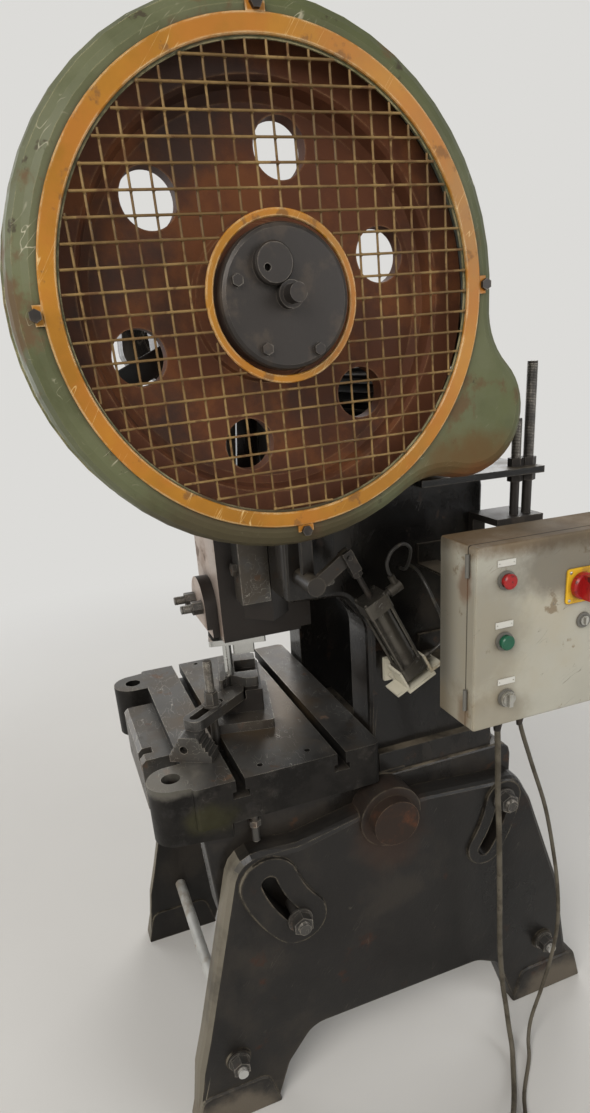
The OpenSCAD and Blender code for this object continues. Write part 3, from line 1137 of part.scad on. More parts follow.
module button(y, z, lift) {
    bar_x(face_x - 14, face_x + lift - 3, 10.7, y, z, 32);
    turned_x(y, z, 48) polygon([[0, face_x + 9.5], [button_d / 2 - 0.8, face_x + 9.5], [button_d / 2, face_x + 10.5],
        [button_d / 2, face_x + lift - 2], [button_d / 2 - 2, face_x + lift], [0, face_x + lift]]);
}
module red_button() color([0.75, 0.06, 0.06]) button(button_y, red_z, 15);
module green_button() color([0.05, 0.35, 0.2]) button(button_y, green_z, 15);
module selector() color([0.7, 0.7, 0.68]) {
    bar_x(face_x - 14, face_x + 12, 10.7, button_y + 8, selector_z, 32);
    bar_x(face_x + 5.3, face_x + 10, 13, button_y + 8, selector_z, 32);
    block([face_x + 9.9, button_y + 8 - 3.5, selector_z - 11], [face_x + 17, button_y + 8 + 3.5, selector_z + 11]);
}
module main_switch() color([0.8, 0.05, 0.04]) {
    bar_x(face_x - 16, face_x + 10, 7.8, switch_y, switch_z, 32);
    turned_x(switch_y, switch_z, 48) polygon([[0, face_x + 4.3], [22, face_x + 4.3], [22, face_x + 12], [19, face_x + 15], [0, face_x + 15]]);
    block([face_x + 14.9, switch_y - 7, switch_z - 20], [face_x + 30, switch_y + 7, switch_z + 20]);
}
module door_lock() color([0.75, 0.74, 0.7]) {
    bar_x(door_x + 4, face_x + 6, 7.8, lock_y, lock_z, 32);
    block([face_x + 5.9, lock_y - 1.5, lock_z - 6], [face_x + 10, lock_y + 1.5, lock_z + 6]);
    block([door_x + 3, lock_y - 5, lock_z - 5], [door_x + 6, lock_y + 34, lock_z + 5]);
}

// Round hose or cable swept along points that were placed by hand
function tangent(p, i) = let (a = p[max(0, i - 1)], b = p[min(len(p) - 1, i + 1)]) (b - a) / norm(b - a);
module swept(p, r, n = 8) {
    k = len(p);
    side = [for (i = [0 : k - 1]) let (t = tangent(p, i), s = cross(t, [0.37, 0.21, 0.9])) s / norm(s)];
    pts = [for (i = [0 : k - 1]) let (t = tangent(p, i), u = side[i], v = cross(t, u))
        for (j = [0 : n - 1]) p[i] + r * (u * cos(360 * j / n) + v * sin(360 * j / n))];
    faces = [for (i = [0 : k - 2]) for (j = [0 : n - 1])
        let (a = i * n + j, b = i * n + (j + 1) % n) each [[a, a + n, b], [b, a + n, b + n]]];
    polyhedron(points = pts, faces = concat(faces, [[for (j = [0 : n - 1]) j]], [[for (j = [n - 1 : -1 : 0]) (k - 1) * n + j]]), convexity = 10);
}

hose_a = [[300, 205.2, 1107.3], [300, 201, 1116], [302, 198, 1132], [306, 206, 1152], [303, 228, 1160], [292, 248, 1146],
    [272, 256, 1118], [258, 256, 1101], [240, 256, 1098]];
hose_b = [[310, 273.5, 952], [310, 283, 957], [312, 297, 968], [314, 303, 990], [312, 297, 1020], [306, 286, 1050],
    [292, 278, 1078], [268, 276, 1096], [240, 276, 1100]];
module air_hoses() color([0.7, 0.7, 0.66]) {
    swept(hose_a, 3);
    swept(hose_b, 3);
}

cable_a = [[425, 344, 867.7], [425, 344, 840], [420, 352, 760], [412, 360, 690], [404, 372, 600], [400, 380, 500], [398, 386, 400],
    [396, 392, 300], [396, 402, 200], [398, 414, 120], [404, 420, 60], [420, 418, 22], [450, 400, 8], [505, 362, 12], [541, 333.7, 22.5], [560, 318.4, 24]];
cable_b = [[425, 392, 867.7], [425, 392, 835], [414, 430, 740], [404, 478, 620], [400, 510, 500], [398, 530, 400], [396, 540, 300],
    [396, 530, 210], [398, 508, 130], [404, 480, 60], [420, 462, 20], [452, 440, 6], [510, 384, 5], [560, 350, 9]];
module supply_cables() color([0.45, 0.42, 0.36]) {
    swept(cable_a, 5.5);
    swept(cable_b, 4);
}
module cable_plug() color([0.75, 0.2, 0.1]) {
    translate([560.5, 318, 0]) rotate([0, 0, -39]) {
        bar_x(0, 16, 14, 0, 24, 32);
        bar_x(16 - eps, 60, 23.5, 0, 24, 48);
        bar_x(60 - eps, 74, 19, 0, 24, 48);
    }
    translate([560.4, 349.7, 0]) rotate([0, 0, -34]) {
        bar_x(0, 24, 8.5, 0, 9, 32);
        bar_x(24 - eps, 34, 6, 0, 9, 32);
    }
}

module placed() translate([place_x, place_y, 0]) children();
placed() leg_right();
placed() leg_left();
placed() tie_rods();
placed() tie_nuts();
placed() trunnion_pins();
placed() frame_casting();
placed() bolster();
placed() bearing_caps();
placed() cap_bolts();
placed() bearing_bushes();
placed() gibs();
placed() gib_screws();
placed() apron_block();
placed() tilt_bolts();
placed() tilt_nuts();
placed() stop_bolt();
placed() crankshaft();
placed() clutch_hub();
placed() connecting_rod();
placed() rod_bolts();
placed() ball_screw();
placed() ram_slide();
placed() clamp_cap();
placed() clamp_nuts();
placed() upper_die();
placed() die_base();
placed() die_block();
placed() stripper_plate();
placed() strap_clamp();
placed() clamp_stud();
placed() step_block();
placed() flywheel();
placed() guard_drum();
placed() grille_rings();
placed() grille_mesh();
placed() guard_bolts();
placed() guard_brackets();
placed() motor();
placed() motor_plate();
placed() tension_posts();
placed() motor_pulley();
placed() belts();
placed() air_barrel();
placed() air_feet();
placed() air_rod();
placed() clutch_lever();
placed() air_fittings();
placed() cabinet();
placed() cabinet_bracket();
placed() switchgear();
placed() cabinet_door();
placed() door_trim();
placed() red_button();
placed() green_button();
placed() selector();
placed() main_switch();
placed() door_lock();
placed() air_hoses();
placed() supply_cables();
placed() cable_plug();
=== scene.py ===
import json
import math
import bpy
from bpy.props import FloatProperty, FloatVectorProperty, IntProperty, PointerProperty
from mathutils import Matrix, Vector

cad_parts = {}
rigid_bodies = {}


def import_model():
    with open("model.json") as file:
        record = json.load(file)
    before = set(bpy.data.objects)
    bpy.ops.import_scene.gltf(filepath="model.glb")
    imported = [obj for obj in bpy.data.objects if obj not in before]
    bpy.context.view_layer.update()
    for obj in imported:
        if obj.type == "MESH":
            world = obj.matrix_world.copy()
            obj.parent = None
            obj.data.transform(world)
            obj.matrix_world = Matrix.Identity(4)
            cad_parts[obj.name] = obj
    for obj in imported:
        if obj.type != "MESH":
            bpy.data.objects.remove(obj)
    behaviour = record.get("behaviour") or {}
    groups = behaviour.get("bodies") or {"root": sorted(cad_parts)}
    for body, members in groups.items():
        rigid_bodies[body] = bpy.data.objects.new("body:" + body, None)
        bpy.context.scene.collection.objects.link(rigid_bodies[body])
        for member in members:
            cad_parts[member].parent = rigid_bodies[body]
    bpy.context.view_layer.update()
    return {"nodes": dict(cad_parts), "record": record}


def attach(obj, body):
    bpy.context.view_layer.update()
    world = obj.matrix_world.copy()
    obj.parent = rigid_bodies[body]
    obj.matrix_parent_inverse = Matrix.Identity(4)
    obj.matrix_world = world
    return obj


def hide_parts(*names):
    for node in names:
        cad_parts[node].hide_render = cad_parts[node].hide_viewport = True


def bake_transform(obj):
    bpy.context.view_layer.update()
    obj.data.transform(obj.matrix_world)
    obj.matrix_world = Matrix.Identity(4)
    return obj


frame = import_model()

bl_info = {
    "name": "Stamping press dressing",
    "version": (1, 0, 0),
    "blender": (4, 5, 0),
    "location": "3D View > Sidebar > Press",
    "description": "Finishes, trim, cords and stage for an open-back stamping press",
    "category": "Object",
}

NODES = frame["nodes"]

# The part is drawn about the crank axis; the row frame has its origin under the middle
SHIFT = Vector((-85, -187.55, 0))

# X of the door's face, and (Y, Z) of what sits on it, in the press's millimetres
DOOR_FACE = 486
SWITCH_PLATE = (448, 1100)
BARE_PLATES = {"red": (305, 1158), "green": (305, 1059), "selector": (313, 961)}

# (Y, Z) of the tilt bolts and of the tie rods
TILT_BOLTS = ((-10.7, 460.59), (449.12, 590.27))
TIE_RODS = ((-162, 162), (577, 162))


def at(x, y, z):
    """A point in the press's millimetres, as metres in the row frame."""
    return (Vector((x, y, z)) + SHIFT) / 1000


def shade(r, g, b):
    """A colour written as a paint chart gives it, 0 to 255, in Blender's linear values."""
    parts = (r / 255, g / 255, b / 255)
    return tuple(c / 12.92 if c <= 0.04045 else ((c + 0.055) / 1.055) ** 2.4 for c in parts)


def linear(colour):
    """A paint chart's colour in linear values; a colour of the panel is linear already."""
    return shade(*colour) if isinstance(colour, tuple) else tuple(colour)


def opaque(colour):
    return tuple(colour) + (1,)


def colour_property(name, text, *chart):
    return FloatVectorProperty(name=name, description=text, subtype="COLOR", size=3, min=0, max=1,
                               default=shade(*chart))


def size_property(name, text, value, low, high):
    return FloatProperty(name=name, description=text, default=value, min=low, max=high,
                         subtype="DISTANCE", unit="LENGTH")


class PressPaints(bpy.types.PropertyGroup):
    frame_black: colour_property("Frame paint", "Oily paint of the frame casting", 27, 25, 24)
    leg_grey: colour_property("Leg paint", "Paint of the two legs", 33, 31, 29)
    guard_green: colour_property("Guard paint", "Faded paint of the flywheel guard", 83, 87, 56)
    ring_yellow: colour_property("Ring paint", "Paint of the grille rings", 166, 112, 27)
    wire_tan: colour_property("Wire paint", "Paint of the grille wires", 108, 84, 49)
    wheel_brown: colour_property("Flywheel", "Rusty casting of the flywheel", 92, 54, 34)
    cabinet_grey: colour_property("Cabinet paint", "Powder coat of the cabinet", 174, 171, 158)
    rod_grey: colour_property("Tie rod paint", "Paint of the tie rods", 176, 176, 172)
    foot_cream: colour_property("Cylinder feet", "Paint of the air cylinder's feet", 188, 183, 166)
    motor_blue: colour_property("Motor paint", "Paint of the motor", 62, 66, 70)


class PressMetals(bpy.types.PropertyGroup):
    bed_steel: colour_property("Bed steel", "Worn top of the bolster", 92, 90, 87)
    ram_steel: colour_property("Ram steel", "Scraped faces of the ram", 176, 160, 148)
    turned_steel: colour_property("Turned steel", "Bright shafts and pillars", 196, 196, 192)
    dark_steel: colour_property("Dark steel", "Blued bolts and hub", 52, 48, 45)
    bronze: colour_property("Bronze", "Bearing bushes", 168, 132, 82)
    zinc: colour_property("Zinc plate", "Switches and lock", 190, 188, 180)
    rust: colour_property("Rust", "Rust that breaks through", 128, 74, 40)
    grease: colour_property("Old grease", "Grease and dirt in the corners", 30, 25, 20)


class PressSizes(bpy.types.PropertyGroup):
    lens: FloatProperty(name="Lens", description="Focal length in mm", default=23.036,
                        min=10, max=100)
    edge_width: size_property("Worn edge", "Width of the worn edges", 0.004, 0, 0.02)
    corner_reach: size_property("Corner dirt", "Reach of the dirt out of corners", 0.05, 0, 0.2)
    thread_pitch: size_property("Thread pitch", "Pitch of the studs' threads", 0.0025, 0.001, 0.006)
    weld_bead: size_property("Wire weld", "Radius of the welds where wires cross", 0.0026, 0.001, 0.006)
    cable_thick: size_property("Supply cable", "Diameter of the supply cable", 0.011, 0.005, 0.02)
    cable_thin: size_property("Signal cable", "Diameter of the thin cable", 0.008, 0.004, 0.02)
    hose_thick: size_property("Air hose", "Diameter of the air hoses", 0.006, 0.004, 0.012)
    round_sides: IntProperty(name="Round sides", description="Sides of small round pieces", default=24,
                             min=8, max=64)


def paints():
    return bpy.context.scene.press_paints


def metals():
    return bpy.context.scene.press_metals


def sizes():
    return bpy.context.scene.press_sizes


class Net:
    """Short ways to add and join nodes in one tree."""

    def __init__(self, tree):
        self.tree = tree
        self.column = 0

    def add(self, kind, ins=None, **values):
        node = self.tree.nodes.new(kind)
        node.location = (self.column, -80)
        self.column += 180
        for key, value in values.items():
            setattr(node, key, value)
        for key, value in (ins or {}).items():
            self.feed(node.inputs[key], value)
        return node

    def feed(self, socket, value):
        if isinstance(value, bpy.types.NodeSocket):
            self.tree.links.new(value, socket)
        else:
            socket.default_value = value

    def group(self, name, values):
        return self.add("ShaderNodeGroup", values, node_tree=bpy.data.node_groups[name]).outputs

    def maths(self, kind, a, b=0, clamp=False):
        return self.add("ShaderNodeMath", {0: a, 1: b}, operation=kind, use_clamp=clamp).outputs[0]

    def minus(self, a, b):
        return self.maths("SUBTRACT", a, b)

    def apart(self, a, b):
        return self.maths("ABSOLUTE", self.minus(a, b))

    def times(self, value, *others, clamp=False):
        """The product of all values; clamp keeps the last one between 0 and 1."""
        for k, other in enumerate(others, 1):
            value = self.maths("MULTIPLY", value, other, clamp and k == len(others))
        return value

    def ramp(self, value, low, high, out_low=0, out_high=1):
        return self.add("ShaderNodeMapRange", {0: value, 1: low, 2: high, 3: out_low, 4: out_high},
                        interpolation_type="SMOOTHSTEP").outputs[0]

    def where(self):
        return self.add("ShaderNodeTexCoord").outputs["Object"]

    def part(self, vector, axis):
        return self.add("ShaderNodeSeparateXYZ", {0: vector}).outputs[axis]

    def length(self, vector):
        return self.add("ShaderNodeVectorMath", {0: vector}, operation="LENGTH").outputs["Value"]

    def noise(self, where, scale, detail=4, rough=0.6):
        return self.add("ShaderNodeTexNoise", {
            "Vector": where, "Scale": scale, "Detail": detail, "Roughness": rough}).outputs[0]

    def place(self, where, scale=(1, 1, 1), turn=(0, 0, 0), shift=(0, 0, 0)):
        return self.add("ShaderNodeMapping", {
            "Vector": where, "Location": shift, "Rotation": turn, "Scale": scale}).outputs[0]

    def mix_colour(self, amount, a, b):
        return self.add("ShaderNodeMix", {0: amount, 6: a, 7: b}, data_type="RGBA").outputs[2]

    def mix_value(self, amount, a, b):
        return self.add("ShaderNodeMix", {0: amount, 2: a, 3: b}, data_type="FLOAT").outputs[0]


def add_inputs(tree, inputs):
    """Named inputs of a node group, of the kinds of their values; gives their identifiers."""
    ids = {}
    for label, value in inputs.items():
        kind = {tuple: "NodeSocketVector", int: "NodeSocketInt"}.get(type(value), "NodeSocketFloat")
        socket = tree.interface.new_socket(name=label, in_out="INPUT", socket_type=kind)
        socket.default_value = value
        ids[label] = socket.identifier
    return ids


def new_group(name, inputs, *outputs):
    tree = bpy.data.node_groups.new(name, "ShaderNodeTree")
    add_inputs(tree, inputs)
    for label in outputs:
        tree.interface.new_socket(name=label, in_out="OUTPUT", socket_type="NodeSocketFloat")
    net = Net(tree)
    start = tree.nodes.new("NodeGroupInput").outputs
    end = tree.nodes.new("NodeGroupOutput").inputs
    return net, start, end


def make_worn_edges():
    """Mask of the outer edges, broken up so the wear looks knocked rather than drawn."""
    net, start, end = new_group("Worn edges", {"Width": 0.004, "Breakup": 40.0, "Amount": 1.0}, "Mask")
    where = net.where()
    flat = net.add("ShaderNodeNewGeometry").outputs["Normal"]
    soft = net.add("ShaderNodeBevel", {"Radius": start["Width"]}, samples=4).outputs[0]
    turned = net.add("ShaderNodeVectorMath", {0: flat, 1: soft}, operation="DOT_PRODUCT").outputs["Value"]
    edge = net.ramp(turned, 0.985, 0.86)
    cut = net.ramp(net.noise(where, start["Breakup"], 5, 0.7), 0.36, 0.6)
    net.feed(end["Mask"], net.times(edge, cut, start["Amount"], clamp=True))


def make_corner_dirt():
    """Mask of inner corners and undersides, where oil and dust gather."""
    net, start, end = new_group("Corner dirt", {"Reach": 0.05, "Amount": 1.0}, "Mask")
    where = net.where()
    open_air = net.add("ShaderNodeAmbientOcclusion", {"Distance": start["Reach"]}, samples=4).outputs["AO"]
    closed = net.ramp(open_air, 0.92, 0.35)
    spread = net.ramp(net.noise(where, 26, 4, 0.65), 0.2, 0.6, 0.5, 1)
    net.feed(end["Mask"], net.times(closed, spread, start["Amount"], clamp=True))


def make_patches():
    """Mask of soft-edged patches, such as rust blooms, stains and faded paint."""
    net, start, end = new_group("Patches", {
        "Scale": 8.0, "Cover": 0.5, "Softness": 0.08, "Shift": (0, 0, 0), "Stretch": (1, 1, 1)}, "Mask")
    placed = net.place(net.where(), scale=start["Stretch"], shift=start["Shift"])
    value = net.noise(placed, start["Scale"], 7, 0.62)
    edge = net.minus(1, start["Cover"])
    low, high = net.minus(edge, start["Softness"]), net.maths("ADD", edge, start["Softness"])
    net.feed(end["Mask"], net.ramp(value, low, high))


def make_scratches():
    """Mask of short fine scratches, laid one way, that come and go."""
    net, start, end = new_group("Scratches", {"Scale": 10.0, "Cover": 0.3, "Turn": (0.6, 0, 0)}, "Mask")
    where = net.where()
    drawn = net.place(net.place(where, turn=start["Turn"]), scale=(30, 30, 2.2))
    lines = net.noise(drawn, start["Scale"], 1, 0.4)
    thin = net.ramp(net.apart(lines, 0.5), 0.01, 0)
    worn = net.noise(where, 22, 3, 0.6)
    edge = net.minus(1, start["Cover"])
    shown = net.ramp(worn, net.minus(edge, 0.05), net.maths("ADD", edge, 0.07))
    net.feed(end["Mask"], net.times(thin, shown, 0.75, clamp=True))


def make_settled_dust():
    """Mask of faces that look up, where dust and spilt oil stay."""
    net, start, end = new_group("Settled dust", {"Amount": 0.6}, "Mask")
    level = facing(net, "Z", 0.45, 0.95)
    patchy = net.ramp(net.noise(net.where(), 18, 6, 0.65), 0.3, 0.62)
    net.feed(end["Mask"], net.times(level, patchy, start["Amount"], clamp=True))


def make_surface_grain():
    """Height of the surface, a coarse wave from casting and a fine grain, and a slow change of tone."""
    net, start, end = new_group("Surface grain", {
        "Coarse": 40.0, "Fine": 400.0, "Fine share": 0.3}, "Height", "Tone")
    where = net.where()
    coarse = net.noise(where, start["Coarse"], 5, 0.55)
    fine = net.noise(where, start["Fine"], 3, 0.6)
    net.feed(end["Height"], net.mix_value(start["Fine share"], coarse, fine))
    net.feed(end["Tone"], net.noise(where, 6, 6, 0.6))


# Materials by slot, and the nodes that look different from the rest of theirs
FINISHES = {}
OWN_FINISH = {"air_rod": "black_steel", "crankshaft": "black_steel", "trunnion_pins": "pin_rust",
              "bolster": "bed"}

# Layers of wear: each gives its group, colour, roughness, metal, share laid on and the group's values


def patches(colour, rough, metal=0, *, scale, cover, soft=0.06, share=0.7, shift=(0, 0, 0),
            stretch=(1, 1, 1)):
    return "Patches", colour, rough, metal, share, {
        "Scale": scale, "Cover": cover, "Softness": soft, "Shift": shift, "Stretch": stretch}


def scratches(colour, rough, metal=0, *, cover=0.4, scale=3, turn=(0.6, 0, 0)):
    return "Scratches", colour, rough, metal, None, {"Scale": scale, "Cover": cover, "Turn": turn}


def worn_edges(colour, rough, metal=0, *, amount=0.7, width=None, breakup=34):
    return "Worn edges", colour, rough, metal, None, {
        "Width": width or sizes().edge_width, "Breakup": breakup, "Amount": amount}


def corner_dirt(rough, *, colour=None, reach=None, amount=0.9):
    return "Corner dirt", colour or metals().grease, rough, 0, None, {
        "Reach": reach or sizes().corner_reach, "Amount": amount}


def dust(colour, rough, *, amount):
    return "Settled dust", colour, rough, 0, None, {"Amount": amount}


# Dust that settles on paint
PALE_DUST = (150, 138, 118)

# Layers that eat into the surface, and how deep, as a share of the grain's height
CUTTING = ("Worn edges", "Patches", "Scratches")
CUT_DEPTH = 0.25

# How far the roughness strays from its middle value with the tone
GLOSS_SPREAD = 0.09


def finish(slot, title, colour, rough, layers, *, metal=0, bump=(0.1, 0.0003), grain=(40, 400, 0.3),
           tone=0.18, coat=0, extra=None):
    """The material of one slot: a base in two tones, the layers of wear, and the marks and painted shade
    that extra lays on.
    bump is strength and depth in metres, grain the coarse and the fine scale and the fine one's share."""
    FINISHES[slot] = made = bpy.data.materials.new(title)
    made.use_nodes = True
    net = Net(made.node_tree)
    base = net.group("Surface grain", dict(zip(("Coarse", "Fine", "Fine share"), grain)))
    dark = opaque(c * (1 - tone) for c in linear(colour))
    light = opaque(min(1, c * (1 + tone)) for c in linear(colour))
    paint = net.mix_colour(net.ramp(base["Tone"], 0.32, 0.68), dark, light)
    gloss = net.ramp(base["Tone"], 0.3, 0.7, max(0.02, rough - GLOSS_SPREAD), min(1, rough + GLOSS_SPREAD))
    height = base["Height"]
    shine = None
    for group, over, over_rough, over_metal, share, values in layers:
        amount = net.group(group, values)["Mask"]
        if share is not None:
            amount = net.times(amount, share)
        paint = net.mix_colour(amount, paint, opaque(linear(over)))
        gloss = net.mix_value(amount, gloss, over_rough)
        if over_metal != metal or shine is not None:
            shine = net.mix_value(amount, metal if shine is None else shine, over_metal)
        if group in CUTTING:
            height = net.minus(height, net.times(amount, CUT_DEPTH))
    if extra:
        paint, gloss = extra(net, (paint, gloss))
    bumped = net.add("ShaderNodeBump", {"Height": height, "Strength": bump[0], "Distance": bump[1]})
    sockets = made.node_tree.nodes["Principled BSDF"].inputs
    for label, value in (
        ("Base Color", paint), ("Roughness", gloss), ("Metallic", metal if shine is None else shine),
        ("Specular IOR Level", 0.3 if metal < 0.3 else 0.5), ("Coat Weight", coat), ("Coat Roughness", 0.15),
        ("Normal", bumped.outputs["Normal"]),
    ):
        net.feed(sockets[label], value)


def spot(net, centre, reach, squeeze, ragged):
    """Mask of one stain with a ragged rim, about a point in the press's millimetres."""
    where = net.where()
    local = net.place(where, scale=tuple(s / reach for s in squeeze),
                      shift=tuple(-c * s / reach for c, s in zip(at(*centre), squeeze)))
    stray = net.minus(net.noise(where, 22, 6, 0.65), 0.5)
    return net.ramp(net.maths("ADD", net.length(local), net.times(stray, ragged * 2)), 1, 0.45)


def stain(net, look, mask, colour, rough, amount=1):
    """Lays a colour and a roughness over the look, which is a pair of both."""
    share = net.times(mask, amount)
    return net.mix_colour(share, look[0], opaque(shade(*colour))), net.mix_value(share, look[1], rough)


def spots(net, look, rows):
    """Stains from rows of centre, reach, squeeze, ragged rim, colour, roughness and amount."""
    for centre, reach, squeeze, ragged, colour, rough, amount in rows:
        look = stain(net, look, spot(net, centre, reach, squeeze, ragged), colour, rough, amount)
    return look


def facing(net, axis, low, high):
    """Share of a face that looks along one axis: 0 at low, 1 at high."""
    return net.ramp(net.part(net.add("ShaderNodeTexCoord").outputs["Normal"], axis), low, high)


def within(net, middle, half_y, half_z):
    """Mask of an upright rectangle on the door's face, about (Y, Z) in the press's millimetres."""
    where = net.add("ShaderNodeSeparateXYZ", {0: net.where()}).outputs
    centre = at(DOOR_FACE, *middle)
    beside = net.apart(where["Y"], centre.y)
    above = net.apart(where["Z"], centre.z)
    return net.times(net.maths("LESS_THAN", beside, half_y), net.maths("LESS_THAN", above, half_z))


def guard_marks(net, look):
    """Rust under the small lobe and the brown spatter of the drum."""
    return spots(net, look, [
        ((380, 283, 1288), 0.1, (0.5, 0.7, 1.3), 0.4, (96, 70, 38), 0.8, 0.8),
        ((380, 300, 1276), 0.06, (0.5, 0.7, 1.6), 0.4, (116, 66, 32), 0.85, 0.6),
        ((380, -60, 1225), 0.16, (0.6, 0.6, 1.3), 0.4, (72, 58, 40), 0.7, 0.7)])


def cabinet_marks(net, look):
    """Dirty brown top, a smear of smoke beside the switch, the door's seam, a painted shade that darkens the
    face towards -Y away from the door, and rust at the hinges."""
    look = spots(net, look, [
        ((430, 400, 1192), 0.2, (1, 0.75, 5), 0.4, (104, 84, 58), 0.75, 0.85),
        ((486, 412, 1142), 0.085, (0.4, 0.75, 1.2), 0.35, (84, 76, 64), 0.7, 0.65)])
    x = net.part(net.where(), "X")
    seam_x, seam_half = at(463.2, 0, 0).x, 0.0014
    seam = net.maths("LESS_THAN", net.apart(x, seam_x), seam_half)
    look = stain(net, look, seam, (34, 28, 22), 0.8, 0.85)
    look = spots(net, look, [((430, 250, 1040), 0.13, (0.3, 1, 0.9), 0.35, (96, 88, 74), 0.7, 0.35)])
    # painted shade: the face towards -Y is darkened more the further it lies from the door
    painted_shade_ramp = net.ramp(x, at(446, 0, 0).x, at(392, 0, 0).x)
    look = stain(net, look, net.times(painted_shade_ramp, facing(net, "Y", -0.5, -0.9)), (62, 58, 50), 0.6, 0.75)
    return spots(net, look, [
        ((456, 245, 905), 0.024, (1, 1, 0.55), 0.5, (104, 66, 38), 0.8, 0.6),
        ((456, 245, 1130), 0.024, (1, 1, 0.55), 0.5, (104, 66, 38), 0.8, 0.6),
        ((486, 270, 900), 0.09, (0.4, 0.8, 1.4), 0.4, (120, 106, 82), 0.7, 0.45)])


def bed_marks(net, look):
    """Dark sides, oil round the tool, a yellow-green film by the near lug and a rubbed lug top."""
    uneven = net.ramp(net.noise(net.where(), 12, 5, 0.65), 0.34, 0.5, 0.72, 1)
    look = stain(net, look, net.times(facing(net, "Z", 0.7, 0.3), uneven), (20, 18, 16), 0.5, 0.93)
    return spots(net, look, [
        ((20, 0, 780), 0.19, (1, 1, 2), 0.4, (92, 76, 56), 0.32, 0.7),
        ((262, -150, 715), 0.06, (0.8, 1, 1.3), 0.5, (66, 64, 34), 0.5, 0.5),
        ((232, -215, 781), 0.09, (1, 1, 4), 0.4, (138, 134, 124), 0.4, 0.5)])


def ram_painted_shade(net, look):
    """The scraped front is pale; the sides and back are darkened with a painted shade."""
    # painted shade: every face but the front is made dark
    return stain(net, look, facing(net, "Y", -0.98, -0.85), (22, 19, 17), 0.42, 0.95)


def trim_marks(net, look):
    """Only the plate behind the main switch is yellow: the bare plates are white, the rest is grey."""
    plate_half, switch_half = (0.0165, 0.0055), (0.0305, 0.0305)
    plates = 0
    for middle in BARE_PLATES.values():
        plates = net.maths("MAXIMUM", plates, within(net, middle, *plate_half))
    rest = net.minus(1, within(net, SWITCH_PLATE, *switch_half))
    return stain(net, stain(net, look, rest, (104, 102, 96), 0.4), plates, (206, 204, 196), 0.5)


def leg_marks_and_painted_light(net, look):
    """Pale dust and a painted highlight on the front edges, brown rust at the trunnion and dust on the feet.
    """
    where = net.where()
    along = net.ramp(net.part(where, "Y"), at(0, 20, 0).y, at(0, -80, 0).y)
    uneven = net.ramp(net.noise(where, 9, 6, 0.65), 0.3, 0.55, 0.45, 1)
    # dust and painted highlight: the faces towards -Y are made pale, as both lit and dusty
    front = net.times(facing(net, "Y", -0.35, -0.8), along, uneven)
    return spots(net, stain(net, look, front, (138, 131, 116), 0.7, 0.72), [
        ((306, 190, 600), 0.1, (1, 1, 0.8), 0.4, (66, 44, 31), 0.85, 0.4),
        ((300, -190, 10), 0.13, (1, 1, 1.6), 0.4, (122, 112, 98), 0.85, 0.6),
        ((300, 620, 10), 0.13, (1, 1, 1.6), 0.4, (122, 112, 98), 0.85, 0.6)])


